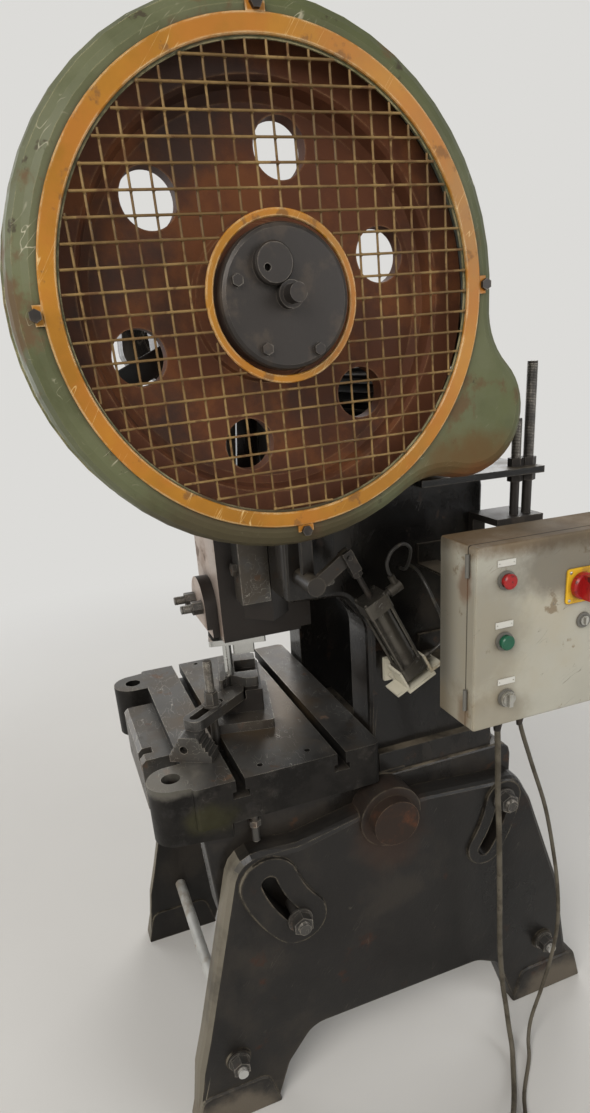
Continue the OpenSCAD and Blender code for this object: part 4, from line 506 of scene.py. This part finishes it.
def casting_finishes():
    """Frame, legs, guard with its rings and wires, and flywheel."""
    paint = paints()
    finish("dark_paint", "Frame paint", paint.frame_black, 0.36, [
        patches((56, 50, 43), 0.5, scale=5, cover=0.46, soft=0.07),
        patches((72, 50, 34), 0.8, scale=16, cover=0.36, soft=0.03, share=0.8, shift=(3, 1, 2)),
        patches((18, 17, 16), 0.16, scale=3, cover=0.46, soft=0.05, share=0.8, shift=(7, 2, 5),
                stretch=(1, 1, 0.35)),
        scratches((70, 66, 60), 0.4, 0.3, cover=0.38),
        worn_edges((104, 96, 84), 0.42, 0.5),
        corner_dirt(0.5),
        dust(PALE_DUST, 0.85, amount=0.42)],
        bump=(0.45, 0.0018), grain=(26, 240, 0.25), coat=0.12)
    finish("leg_paint", "Leg paint", paint.leg_grey, 0.45, [
        patches((50, 45, 39), 0.55, scale=6, cover=0.46, soft=0.08),
        patches((66, 43, 31), 0.85, scale=11, cover=0.34, soft=0.04, shift=(2, 5, 1)),
        patches((17, 16, 15), 0.22, scale=3, cover=0.45, soft=0.05, shift=(4, 2, 9), stretch=(1, 1, 0.3)),
        scratches((78, 72, 64), 0.5, 0.2, cover=0.38),
        worn_edges((128, 118, 100), 0.5, 0.3, amount=0.75, width=0.006),
        corner_dirt(0.6)],
        bump=(0.5, 0.002), grain=(22, 200, 0.25), extra=leg_marks_and_painted_light)
    finish("guard_paint", "Guard paint", paint.guard_green, 0.55, [
        patches((104, 106, 80), 0.55, scale=4, cover=0.48, soft=0.1, share=0.6),
        patches((96, 74, 50), 0.75, scale=9, cover=0.4, soft=0.04, share=0.85, shift=(1, 3, 2)),
        patches((58, 48, 36), 0.7, scale=26, cover=0.34, soft=0.03, share=0.8, shift=(5, 3, 8)),
        scratches((186, 180, 156), 0.5, scale=2.4, turn=(0.9, 0.2, 0.3)),
        worn_edges((196, 184, 142), 0.45, amount=1, width=0.004),
        corner_dirt(0.7, colour=(62, 52, 36), reach=0.03, amount=0.8)],
        bump=(0.3, 0.0012), grain=(18, 300, 0.2), extra=guard_marks)
    finish("ring_paint", "Ring paint", paint.ring_yellow, 0.42, [
        patches((172, 107, 31), 0.55, scale=9, cover=0.47, soft=0.08),
        patches((120, 82, 42), 0.8, scale=24, cover=0.37, soft=0.03, share=0.8, shift=(2, 8, 1)),
        scratches((222, 190, 130), 0.5, cover=0.42),
        worn_edges((232, 214, 172), 0.5, amount=0.95, width=0.003, breakup=26)],
        bump=(0.25, 0.0006), grain=(60, 500, 0.3), coat=0.15)
    finish("mesh_paint", "Wire paint", paint.wire_tan, 0.5, [
        patches((154, 127, 80), 0.5, scale=12, cover=0.46, soft=0.1, share=0.6),
        patches((98, 70, 44), 0.85, scale=40, cover=0.42, soft=0.05, share=0.9, shift=(3, 3, 3))],
        bump=(0.3, 0.0004), grain=(120, 800, 0.4))
    finish("flywheel_rust", "Flywheel casting", paint.wheel_brown, 0.72, [
        patches((122, 74, 42), 0.8, scale=10, cover=0.46, soft=0.07),
        patches((54, 40, 34), 0.6, scale=5, cover=0.45, soft=0.08, share=0.8, shift=(6, 1, 3)),
        worn_edges((168, 128, 92), 0.6, 0.3),
        corner_dirt(0.7, reach=0.04, amount=0.7)],
        bump=(0.5, 0.0016), grain=(46, 320, 0.4))


def steel_finishes():
    """Bed, ram, pins, shafts and bolts."""
    metal = metals()
    for slot, title, marks in (("worn_steel", "Worn steel", None), ("bed", "Bed steel", bed_marks)):
        finish(slot, title, metal.bed_steel, 0.38, [
            patches((86, 78, 68), 0.45, 0.5, scale=9, cover=0.47, soft=0.07, share=0.8),
            patches((104, 72, 46), 0.8, scale=20, cover=0.35, soft=0.03, share=0.6, shift=(1, 6, 4)),
            patches((58, 50, 42), 0.35, 0.2, scale=14, cover=0.4, soft=0.04, shift=(9, 2, 4)),
            scratches((184, 178, 168), 0.3, 0.9, cover=0.5, turn=(0.3, 1.2, 0.5)),
            worn_edges((206, 198, 184), 0.3, 0.9, amount=0.8, width=0.003),
            corner_dirt(0.6, reach=0.03, amount=0.85)],
            metal=0.75, bump=(0.35, 0.001), grain=(60, 500, 0.4), extra=marks)
    finish("pin_rust", "Rusty pin", (46, 35, 28), 0.7, [
        patches((92, 54, 32), 0.85, scale=14, cover=0.42, soft=0.08),
        worn_edges((126, 104, 84), 0.5, 0.4, width=0.003)],
        metal=0.1, bump=(0.5, 0.0012), grain=(60, 420, 0.4))
    finish("ram_steel", "Ram steel", metal.ram_steel, 0.42, [
        patches((136, 112, 94), 0.5, 0.3, scale=8, cover=0.46, share=0.8),
        patches((88, 66, 50), 0.7, scale=22, cover=0.38, soft=0.03, share=0.8, shift=(1, 4, 4)),
        scratches((220, 210, 200), 0.35, 0.8, cover=0.45),
        worn_edges((214, 202, 188), 0.35, 0.8, amount=0.8, width=0.003),
        corner_dirt(0.6, reach=0.03)],
        metal=0.55, bump=(0.3, 0.0009), grain=(70, 520, 0.4), extra=ram_painted_shade)
    finish("bright_steel", "Bright steel", metal.turned_steel, 0.22, [
        patches((128, 112, 92), 0.4, 0.6, scale=18, cover=0.38, share=0.5),
        scratches((236, 234, 230), 0.3, 1, scale=4, turn=(0, 1.57, 0))],
        metal=0.95, grain=(200, 1200, 0.6), tone=0.08)
    finish("black_steel", "Dark steel", metal.dark_steel, 0.42, [
        patches((78, 66, 54), 0.65, 0.1, scale=22, cover=0.4, soft=0.07, share=0.45),
        worn_edges((150, 142, 130), 0.35, 0.85, amount=0.85, width=0.002),
        corner_dirt(0.6, reach=0.02, amount=0.8)],
        metal=0.6, bump=(0.3, 0.0007), grain=(90, 600, 0.4))


def fitting_finishes():
    """Tie rods, bushes, motor with its belts, air cylinder and cabinet."""
    paint, metal = paints(), metals()
    finish("rod_paint", "Tie rod paint", paint.rod_grey, 0.45, [
        patches((136, 124, 106), 0.6, scale=9, cover=0.42),
        patches(metal.rust, 0.8, scale=26, cover=0.34, soft=0.03, share=0.8, shift=(1, 6, 4))],
        metal=0.1, bump=(0.25, 0.0006))
    finish("bronze", "Bronze", metal.bronze, 0.38, [
        patches((92, 70, 42), 0.5, 0.5, scale=22, cover=0.45, soft=0.07, share=0.8)],
        metal=0.9, bump=(0.15, 0.0004))
    finish("motor_paint", "Motor paint", paint.motor_blue, 0.5, [
        patches((88, 82, 72), 0.75, scale=9, cover=0.45),
        worn_edges((134, 126, 112), 0.5, 0.3, amount=0.8, width=0.002),
        corner_dirt(0.8, reach=0.03),
        dust(PALE_DUST, 0.9, amount=0.7)],
        bump=(0.35, 0.001))
    finish("belt_rubber", "Belt rubber", (40, 38, 36), 0.75, [
        patches((84, 78, 70), 0.85, scale=30, cover=0.45, soft=0.08, share=0.6)],
        bump=(0.3, 0.0005), grain=(160, 900, 0.5))
    finish("aluminium", "Aluminium", (92, 88, 81), 0.34, [
        patches((48, 42, 34), 0.55, 0.3, scale=14, cover=0.48),
        scratches((220, 220, 216), 0.3, 0.95, scale=4, turn=(0.47, 0, 0)),
        corner_dirt(0.7, reach=0.02, amount=0.7)],
        metal=0.85, bump=(0.15, 0.0004), grain=(120, 900, 0.5))
    finish("foot_paint", "Cylinder foot paint", paint.foot_cream, 0.5, [
        patches((154, 136, 104), 0.65, scale=16, cover=0.42, soft=0.05, share=0.8),
        worn_edges((96, 84, 68), 0.6, 0.2, width=0.002)],
        bump=(0.2, 0.0005))
    finish("cabinet_paint", "Cabinet paint", paint.cabinet_grey, 0.48, [
        patches((176, 168, 148), 0.55, scale=5, cover=0.48, soft=0.1),
        patches((120, 100, 72), 0.75, scale=22, cover=0.34, soft=0.03, shift=(2, 2, 7)),
        scratches((120, 116, 106), 0.6, scale=2.5, turn=(1.1, 0.2, 0)),
        worn_edges((112, 92, 66), 0.6, width=0.0025),
        corner_dirt(0.7, colour=(74, 60, 44), reach=0.02, amount=0.8),
        dust((66, 57, 46), 0.85, amount=0.95)],
        bump=(0.16, 0.0004), grain=(90, 900, 0.6), tone=0.06, extra=cabinet_marks)


def control_finishes():
    """Switches, buttons, cables and hoses."""
    finish("switch_plastic", "Switch plastic", (188, 186, 178), 0.5, [
        patches((140, 130, 112), 0.6, scale=20, cover=0.4)])
    finish("yellow_plastic", "Yellow plate", (226, 178, 36), 0.4, [
        patches((176, 132, 40), 0.55, scale=26, cover=0.42),
        corner_dirt(0.6, colour=(92, 66, 30), reach=0.012, amount=0.8)],
        coat=0.2, tone=0.08, extra=trim_marks)
    finish("red_plastic", "Red plastic", (158, 27, 27), 0.34, [
        patches((104, 24, 24), 0.5, scale=30, cover=0.42),
        patches((36, 20, 18), 0.6, scale=38, cover=0.41, soft=0.03, share=0.8, shift=(3, 1, 6))],
        coat=0.3, tone=0.08)
    finish("green_plastic", "Green plastic", (26, 86, 62), 0.36, [
        patches((34, 70, 54), 0.5, scale=30, cover=0.42)],
        coat=0.3, tone=0.08)
    finish("plated", "Zinc plate", metals().zinc, 0.32, [
        patches((132, 124, 108), 0.5, 0.5, scale=24, cover=0.42),
        corner_dirt(0.6, reach=0.01, amount=0.7)],
        metal=0.9, bump=(0.12, 0.0003), tone=0.08)
    finish("cable_rubber", "Cable jacket", (92, 86, 74), 0.62, [
        patches((62, 56, 46), 0.8, scale=14, cover=0.46, soft=0.08, share=0.8),
        patches((62, 54, 44), 0.8, scale=40, cover=0.38, soft=0.04, shift=(1, 5, 3))],
        bump=(0.2, 0.0004), grain=(120, 900, 0.5))
    finish("hose_plastic", "Air hose", (52, 50, 47), 0.4, [
        patches((84, 78, 66), 0.6, scale=26, cover=0.43, share=0.8)],
        coat=0.2)


def link(name, mesh):
    """A mesh object at the origin, with its place in its vertices."""
    piece = bpy.data.objects.new(name, mesh)
    bpy.context.scene.collection.objects.link(piece)
    return piece


def mesh_piece(name, shape, slot, body=None):
    """A smooth mesh piece in the finish of its slot, riding on a body if one is named."""
    mesh = bpy.data.meshes.new(name)
    mesh.from_pydata([tuple(v) for v in shape[0]], [], shape[1])
    mesh.update()
    mesh.shade_smooth()
    mesh.set_sharp_from_angle(angle=math.radians(35))
    mesh.materials.append(FINISHES[slot])
    piece = link(name, mesh)
    if body:
        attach(piece, body)
    return piece


def axes_of(direction):
    forward = Vector(direction).normalized()
    side = forward.cross(Vector((0, 0, 1)) if abs(forward.z) < 0.9 else Vector((0, 1, 0))).normalized()
    return forward, side, forward.cross(side)


def ring(centre, side, over, radius, sides):
    turns = (2 * math.pi * k / sides for k in range(sides))
    return [centre + (side * math.cos(a) + over * math.sin(a)) * radius for a in turns]


def closed_skin(rings):
    """Vertices and faces of a skin over rings of as many points each, closed at both ends."""
    sides = len(rings[0])
    faces = []
    for start in range(0, (len(rings) - 1) * sides, sides):
        for k in range(sides):
            a, b = start + k, start + (k + 1) % sides
            faces.append((a, b, b + sides, a + sides))
    last = (len(rings) - 1) * sides
    faces += [tuple(range(sides))[::-1], tuple(range(last, last + sides))]
    return [point for one in rings for point in one], faces


def turned(profile, centre, direction, sides):
    """A turned shape: profile is (distance along, radius) pairs in metres."""
    forward, side, over = axes_of(direction)
    return closed_skin([ring(Vector(centre) + forward * along, side, over, radius, sides)
                        for along, radius in profile])


def rounded_line(points, steps):
    """A smooth line through points in the press's millimetres (Catmull-Rom), as vectors in metres."""
    points = [at(*p) for p in points]
    ends = [points[0] * 2 - points[1]] + points + [points[-1] * 2 - points[-2]]
    line = []
    for a, b, c, d in zip(ends, ends[1:], ends[2:], ends[3:]):
        for t in (k / steps for k in range(steps)):
            line.append(0.5 * ((2 * b) + (c - a) * t + (2 * a - 5 * b + 4 * c - d) * t * t
                               + (3 * b - a - 3 * c + d) * t ** 3))
    return line + [points[-1]]


def tube(line, radius, sides):
    """A round tube along a line, its rings carried along without twist."""
    rings, side = [], None
    for k, point in enumerate(line):
        ahead = (line[min(k + 1, len(line) - 1)] - line[max(k - 1, 0)]).normalized()
        side = (side - ahead * side.dot(ahead)).normalized() if side else axes_of(ahead)[1]
        rings.append(ring(point, side, ahead.cross(side), radius, sides))
    return closed_skin(rings)


class Patch(Net):
    """Geometry nodes tree with named inputs, run once on an empty mesh and turned into a plain one."""

    def __init__(self, name, slot, inputs):
        tree = bpy.data.node_groups.new(name, "GeometryNodeTree")
        tree.interface.new_socket(name="Geometry", in_out="OUTPUT", socket_type="NodeSocketGeometry")
        self.ids = add_inputs(tree, {**inputs, "Place": (0, 0, 0), "Turn": (0, 0, 0)})
        super().__init__(tree)
        self.slot = slot
        self.start = tree.nodes.new("NodeGroupInput").outputs
        self.end = tree.nodes.new("NodeGroupOutput").inputs

    def moved(self, geometry, **ins):
        """The geometry shifted, turned or scaled: keys are the inputs of the Transform node."""
        return self.add("GeometryNodeTransform", {"Geometry": geometry, **ins}).outputs[0]

    def combine(self, **parts):
        return self.add("ShaderNodeCombineXYZ", parts).outputs[0]

    def done(self, points, shape, **ins):
        """Sets the shape on the points, puts the lot in its place and gives it its finish."""
        copies = self.add("GeometryNodeInstanceOnPoints", {"Points": points, "Instance": shape, **ins})
        placed = self.moved(copies.outputs[0], Translation=self.start["Place"], Rotation=self.start["Turn"])
        real = self.add("GeometryNodeRealizeInstances", {0: placed}).outputs[0]
        coated = self.add("GeometryNodeSetMaterial", {"Geometry": real, "Material": FINISHES[self.slot]})
        self.feed(self.end[0], coated.outputs[0])
        return self

    def bake(self, name, body, place, turn, values):
        carrier = link(name + "_carrier", bpy.data.meshes.new(name + "_carrier"))
        modifier = carrier.modifiers.new("Build", "NODES")
        modifier.node_group = self.tree
        for label, value in {**values, "Place": tuple(at(*place)), "Turn": turn}.items():
            modifier[self.ids[label]] = value
        bpy.context.view_layer.update()
        solid = bpy.data.meshes.new_from_object(carrier.evaluated_get(bpy.context.evaluated_depsgraph_get()))
        bpy.data.objects.remove(carrier)
        piece = link(name, solid)
        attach(piece, body)


def thread_tree():
    """Rings of a thread stacked along a stud."""
    net = Patch("Thread rings", "worn_steel", {
        "Length": 0.05, "Pitch": 0.0025, "Radius": 0.01, "Sides": 24})
    start = net.start
    count = net.maths("FLOOR", net.maths("DIVIDE", start["Length"], start["Pitch"]))
    line = net.add("GeometryNodeMeshLine", {"Count": count, "Offset": net.combine(Z=start["Pitch"])})
    round_path = net.add("GeometryNodeCurvePrimitiveCircle", {
        "Resolution": start["Sides"], "Radius": start["Radius"]})
    crest = net.add("GeometryNodeCurvePrimitiveCircle", {
        "Resolution": 4, "Radius": net.times(start["Pitch"], 0.46)})
    solid = net.add("GeometryNodeCurveToMesh", {
        "Curve": round_path.outputs[0], "Profile Curve": crest.outputs[0]})
    return net.done(line.outputs[0], solid.outputs[0])


def welds_tree():
    """Small lumps of weld on a grid of points, kept between two radii."""
    net = Patch("Wire welds", "mesh_paint", {
        "Pitch": 0.025, "Radius": 0.0026, "First": (0, 0, 0), "Inner": 0.1, "Outer": 0.26})
    start = net.start
    steps = 24
    span = net.times(start["Pitch"], steps)
    grid = net.add("GeometryNodeMeshGrid", {
        "Size X": span, "Size Y": span, "Vertices X": steps + 1, "Vertices Y": steps + 1})
    moved = net.moved(grid.outputs[0], Translation=start["First"])
    away = net.length(net.add("GeometryNodeInputPosition").outputs[0])
    inside = net.maths("LESS_THAN", away, start["Outer"])
    outside = net.maths("GREATER_THAN", away, start["Inner"])
    lump = net.add("GeometryNodeMeshIcoSphere", {"Radius": start["Radius"], "Subdivisions": 2})
    return net.done(moved, lump.outputs[0], Selection=net.times(inside, outside))


def screws_tree():
    """Domed and slotted screw heads on a small grid."""
    net = Patch("Screw heads", "plated", {
        "Wide": 0.04, "High": 0.04, "Across": 2, "Up": 2, "Radius": 0.0025})
    start = net.start
    radius = start["Radius"]
    grid = net.add("GeometryNodeMeshGrid", {
        "Size X": start["Wide"], "Size Y": start["High"],
        "Vertices X": start["Across"], "Vertices Y": start["Up"]})
    ball = net.add("GeometryNodeMeshUVSphere", {"Segments": 16, "Rings": 8, "Radius": radius})
    head = net.moved(ball.outputs[0], Scale=(1, 1, 0.45))
    slot = net.add("GeometryNodeMeshCube", {
        "Size": net.combine(X=net.times(radius, 2.4), Y=net.times(radius, 0.28), Z=radius)})
    lifted = net.moved(slot.outputs[0], Translation=net.combine(Z=net.times(radius, 0.78)))
    cut = net.add("GeometryNodeMeshBoolean", {"Mesh 1": head, "Mesh 2": lifted}, operation="DIFFERENCE")
    return net.done(grid.outputs[0], cut.outputs[0])


class PRESS_OT_camera(bpy.types.Operator):
    """Sets the camera where the photograph was taken from"""

    bl_idname = "press.camera"
    bl_label = "Camera"

    def execute(self, context):
        data = bpy.data.cameras.new("Camera")
        camera = bpy.data.objects.new("Camera", data)
        context.scene.collection.objects.link(camera)
        forward = Vector((-0.8711, 0.3327, -0.3612)).normalized()
        right = Vector((0.3765, 0.9247, -0.0563))
        right = (right - forward * right.dot(forward)).normalized()
        turn = Matrix((right, right.cross(forward), -forward)).transposed()
        camera.matrix_world = Matrix.Translation(at(1343.7, -327.9, 1459.2)) @ turn.to_4x4()
        data.sensor_width = 36
        data.lens = sizes().lens
        data.shift_x = -0.02273
        data.shift_y = 0.0699
        data.clip_start = 0.05
        context.scene.camera = camera
        return {"FINISHED"}


class PRESS_OT_finishes(bpy.types.Operator):
    """Builds the wear groups and every finish, and puts each on the parts of its slot"""

    bl_idname = "press.finishes"
    bl_label = "Finishes"

    def execute(self, context):
        for make in (
            make_worn_edges, make_corner_dirt, make_patches, make_scratches, make_settled_dust,
            make_surface_grain, casting_finishes, steel_finishes, fitting_finishes, control_finishes,
        ):
            make()
        for part in frame["record"]["subparts"]:
            node = NODES[part["node"]]
            node.data.materials.clear()
            node.data.materials.append(FINISHES[OWN_FINISH.get(part["node"], part["material_slot"])])
        return {"FINISHED"}


class PRESS_OT_cables(bpy.types.Operator):
    """Lays the two supply cables from the cabinet to the floor, with boots at the glands; the plug is the
    model's own
    """

    bl_idname = "press.cables"
    bl_label = "Supply cables"

    # Points down from the glands to the floor, in the press's millimetres
    thick = [
        (425, 344, 867.7), (425, 344, 840), (420, 352, 760), (412, 360, 690), (404, 372, 600),
        (400, 380, 500), (398, 386, 400), (396, 392, 300), (396, 402, 200), (398, 414, 120),
        (404, 420, 60), (420, 418, 22), (450, 400, 8), (505, 362, 12), (541, 333.7, 22.5), (560, 318.4, 24)]
    thin = [
        (425, 392, 867.7), (425, 392, 835), (414, 430, 740), (404, 478, 620), (400, 510, 500),
        (398, 530, 400), (396, 540, 300), (396, 530, 210), (398, 508, 130), (404, 480, 60),
        (420, 462, 20), (452, 440, 6), (510, 384, 5), (560, 350, 9)]

    # How far the boot at the gland runs down the cable, and how far it stands off the jacket
    boot_shape = ((0, 0.0035), (0.02, 0.003), (0.034, 0.0006))

    def lay(self, name, points, across, far_end, others):
        line = rounded_line(points, 6)
        piece = mesh_piece(name, tube(line, across / 2, 16), "cable_rubber")
        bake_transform(piece)
        profile = [(along, across * 0.5 + off) for along, off in self.boot_shape]
        sleeve = turned(profile, line[0], line[1] - line[0], 20)
        boot = mesh_piece(name + "_boot", sleeve, "black_steel", "frame")
        return piece

    def execute(self, context):
        supply = self.lay("supply_cable", self.thick, sizes().cable_thick, "plug", [NODES["cable_plug"]])
        self.lay("signal_cable", self.thin, sizes().cable_thin, "connector", [])
        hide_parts("supply_cables")
        return {"FINISHED"}


class PRESS_OT_hoses(bpy.types.Operator):
    """Runs the air hoses from the clutch cylinder to the frame"""

    bl_idname = "press.hoses"
    bl_label = "Air hoses"

    # Points from the elbows to the cheek, in the press's millimetres
    upper = [
        (300, 205.2, 1107.3), (300, 201, 1116), (302, 198, 1132), (306, 206, 1152), (303, 228, 1160),
        (292, 248, 1146), (272, 256, 1118), (258, 256, 1101), (240, 256, 1098)]
    lower = [
        (310, 273.5, 952), (310, 283, 957), (312, 297, 968), (314, 303, 990), (312, 297, 1020),
        (306, 286, 1050), (292, 278, 1078), (268, 276, 1096), (240, 276, 1100)]

    def execute(self, context):
        across = sizes().hose_thick
        for name, points in (("air_hose_upper", self.upper), ("air_hose_lower", self.lower)):
            line = rounded_line(points, 8)
            piece = mesh_piece(name, tube(line, across / 2, 14), "hose_plastic", "frame")
        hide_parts("air_hoses")
        return {"FINISHED"}


# Colour of the backdrop, and the distances from the press between which the floor turns into it
BACKDROP = opaque(shade(220, 219, 216))
FLOOR_ENDS = (1.5, 4)

# Name, place, power in watts, width and colour of each lamp, and the point that all look at
LAMPS = (
    ("Key", (2.6, -2.6, 3.4), 128, 2.4, (1, 0.97, 0.93)),
    ("Side", (3.4, 2.4, 2.2), 46, 2.2, (0.95, 0.97, 1)),
    ("Back", (-2.6, 1.6, 3), 50, 2.2, (1, 1, 1)),
    ("Left", (-3.2, -2, 2), 30, 2.2, (0.97, 0.98, 1)),
)
LAMPS_AIM = Vector((0, 0, 0.95))


def backdrop_shape():
    """A round floor that curves up into a wall: vertices and faces."""
    reach, rise, wall, rings, around = 4.2, 2.6, 5, 16, 64
    profile = [(reach, 0)]
    for k in range(1, rings + 1):
        a = k / rings * math.pi / 2
        profile.append((reach + rise * math.sin(a), rise * (1 - math.cos(a))))
    profile.append((reach + rise, rise + wall))
    turns = [2 * math.pi * k / around for k in range(around)]
    points = [(r * math.cos(a), r * math.sin(a), z) for r, z in profile for a in turns]
    faces = [tuple(range(around))]
    for start in range(0, (len(profile) - 1) * around, around):
        for k in range(around):
            a, b = start + k, start + (k + 1) % around
            faces.append((a, a + around, b + around, b))
    return points, faces


def floor_finish():
    """Pale floor that keeps the shadow and, for the rays that look, fades into the backdrop's colour."""
    made = bpy.data.materials.new("Pale floor")
    made.use_nodes = True
    net = Net(made.node_tree)
    bsdf = net.tree.nodes["Principled BSDF"]
    where = net.where()
    tones = opaque(shade(206, 204, 200)), opaque(shade(214, 212, 208))
    net.feed(bsdf.inputs["Base Color"], net.mix_colour(net.noise(where, 1.4, 3, 0.5), *tones))
    bsdf.inputs["Roughness"].default_value = 0.8
    x, y = net.part(where, "X"), net.part(where, "Y")
    away = net.maths("SQRT", net.maths("ADD", net.times(x, x), net.times(y, y)))
    rays = net.add("ShaderNodeLightPath").outputs
    looking = net.maths("MAXIMUM", rays["Is Glossy Ray"], rays["Is Transmission Ray"])
    looking = net.maths("MAXIMUM", rays["Is Camera Ray"], looking)
    glow = net.add("ShaderNodeEmission", {"Color": BACKDROP, "Strength": 1})
    mixed = net.add("ShaderNodeMixShader", {
        0: net.times(looking, net.ramp(away, *FLOOR_ENDS)), 1: bsdf.outputs[0], 2: glow.outputs[0]})
    net.feed(net.tree.nodes["Material Output"].inputs["Surface"], mixed.outputs[0])
    return made


def light_world(scene):
    """Plain white light from all round; the camera sees the backdrop's colour instead."""
    scene.world = scene.world or bpy.data.worlds.new("Studio")
    scene.world.use_nodes = True
    net = Net(scene.world.node_tree)
    sky = net.tree.nodes["Background"]
    sky.inputs["Color"].default_value = (1, 1, 1, 1)
    sky.inputs["Strength"].default_value = 0.34
    seen = net.add("ShaderNodeBackground", {"Color": BACKDROP, "Strength": 1})
    rays = net.add("ShaderNodeLightPath").outputs
    mixed = net.add("ShaderNodeMixShader", {0: rays["Is Camera Ray"], 1: sky.outputs[0], 2: seen.outputs[0]})
    net.feed(net.tree.nodes["World Output"].inputs["Surface"], mixed.outputs[0])


class PRESS_OT_stage(bpy.types.Operator):
    """Pale floor and backdrop with soft studio lamps"""

    bl_idname = "press.stage"
    bl_label = "Stage"

    def execute(self, context):
        scene = context.scene
        mesh = bpy.data.meshes.new("Floor")
        points, faces = backdrop_shape()
        mesh.from_pydata(points, [], faces)
        mesh.shade_smooth()
        floor = link("Floor", mesh)
        mesh.materials.append(floor_finish())
        light_world(scene)
        for name, place, power, width, colour in LAMPS:
            lamp = bpy.data.lights.new(name, "AREA")
            lamp.energy = power
            lamp.size = width
            lamp.color = colour
            holder = bpy.data.objects.new(name, lamp)
            holder.location = place
            holder.rotation_euler = (LAMPS_AIM - Vector(place)).to_track_quat("-Z", "Y").to_euler()
            scene.collection.objects.link(holder)
        scene.view_settings.view_transform = "Standard"
        return {"FINISHED"}


class PRESS_OT_threads(bpy.types.Operator):
    """Threads on the clamp stud, tilt bolts, tie rods, tension posts and ram studs"""

    bl_idname = "press.threads"
    bl_label = "Threads"

    # How deep the crests sit in the stud, so that only their tips stand out
    sink = 0.0004

    def execute(self, context):
        tree = thread_tree()
        quarter = math.radians(90)
        upright, forward = (0, 0, 0), (quarter, 0, 0)

        # Name, body, place, turn, length and radius of each threaded run
        runs = [
            ("stud_thread", "frame", (115.84, -90, 881), upright, 0.06, 0.008),
            ("post_thread_rear", "frame", (298, 480, 1280), upright, 0.153, 0.0085),
            ("post_thread_front", "frame", (298, 454, 1280), upright, 0.063, 0.008),
            ("ram_thread_right", "ram", (32, -91, 1021), forward, 0.019, 0.008),
            ("ram_thread_left", "ram", (-32, -91, 1021), forward, 0.019, 0.008),
        ]
        for kind, body, places, out, length, radius in (
            ("tilt", "frame", TILT_BOLTS, 335.6, 0.0075, 0.012),
            ("tie", "stand", TIE_RODS, 337, 0.0085, 0.01),
        ):
            for k, (y, z) in enumerate(places):
                for side, way in (("right", 1), ("left", -1)):
                    runs.append(("%s_thread_%s_%d" % (kind, side, k), body, (way * out, y, z),
                                 (0, way * quarter, 0), length, radius))
        for name, body, place, turn, length, radius in runs:
            tree.bake(name, body, place, turn, {
                "Length": length, "Pitch": sizes().thread_pitch, "Radius": radius - self.sink,
                "Sides": sizes().round_sides})
        return {"FINISHED"}


class PRESS_OT_plate_screws(bpy.types.Operator):
    """Small screws at the corners of the switch plate and rivets on the bare plates"""

    bl_idname = "press.plate_screws"
    bl_label = "Plate screws"

    def execute(self, context):
        tree = screws_tree()
        out = (math.radians(90), 0, math.radians(90))
        tree.bake("switch_plate_screws", "door", (DOOR_FACE + 3.2, *SWITCH_PLATE), out, {
            "Wide": 0.046, "High": 0.046, "Across": 2, "Up": 2, "Radius": 0.0028})
        for name, middle in BARE_PLATES.items():
            tree.bake(name + "_plate_rivets", "door", (DOOR_FACE + 0.8, *middle), out, {
                "Wide": 0.026, "High": 0.0, "Across": 2, "Up": 1, "Radius": 0.0014})
        return {"FINISHED"}


class PRESS_OT_wire_welds(bpy.types.Operator):
    """Welds where the grille wires cross"""

    bl_idname = "press.wire_welds"
    bl_label = "Wire welds"

    def execute(self, context):
        turn = Matrix.Identity(3)
        for degrees, axis in ((2, "X"), (90, "Z"), (90, "X")):
            turn = turn @ Matrix.Rotation(math.radians(degrees), 3, axis)
        welds_tree().bake("wire_welds", "frame", (427.6, 0, 1530), tuple(turn.to_euler()), {
            "Pitch": 0.025, "Radius": sizes().weld_bead, "First": (0.0097, -0.0061, 0),
            "Inner": 0.0905, "Outer": 0.262})
        return {"FINISHED"}


STEPS = (PRESS_OT_camera, PRESS_OT_finishes, PRESS_OT_cables, PRESS_OT_hoses, PRESS_OT_stage,
         PRESS_OT_threads, PRESS_OT_plate_screws, PRESS_OT_wire_welds)


class PRESS_PT_panel(bpy.types.Panel):
    """Lists the steps that dress the press"""

    bl_idname = "PRESS_PT_panel"
    bl_label = "Stamping press"
    bl_space_type = "VIEW_3D"
    bl_region_type = "UI"
    bl_category = "Press"

    def draw(self, context):
        for step in STEPS:
            self.layout.operator(step.bl_idname)
        for group in (paints(), metals(), sizes()):
            box = self.layout.box()
            for key in group.bl_rna.properties.keys():
                if key not in ("rna_type", "name"):
                    box.prop(group, key)


CLASSES = (PressPaints, PressMetals, PressSizes) + STEPS + (PRESS_PT_panel,)


def register():
    for one in CLASSES:
        bpy.utils.register_class(one)
    bpy.types.Scene.press_paints = PointerProperty(type=PressPaints)
    bpy.types.Scene.press_metals = PointerProperty(type=PressMetals)
    bpy.types.Scene.press_sizes = PointerProperty(type=PressSizes)


def unregister():
    del bpy.types.Scene.press_sizes
    del bpy.types.Scene.press_metals
    del bpy.types.Scene.press_paints
    for one in reversed(CLASSES):
        bpy.utils.unregister_class(one)


def main():
    register()
    for step in STEPS:
        group, name = step.bl_idname.split(".")
        getattr(getattr(bpy.ops, group), name)()


if __name__ == "__main__":
    main()
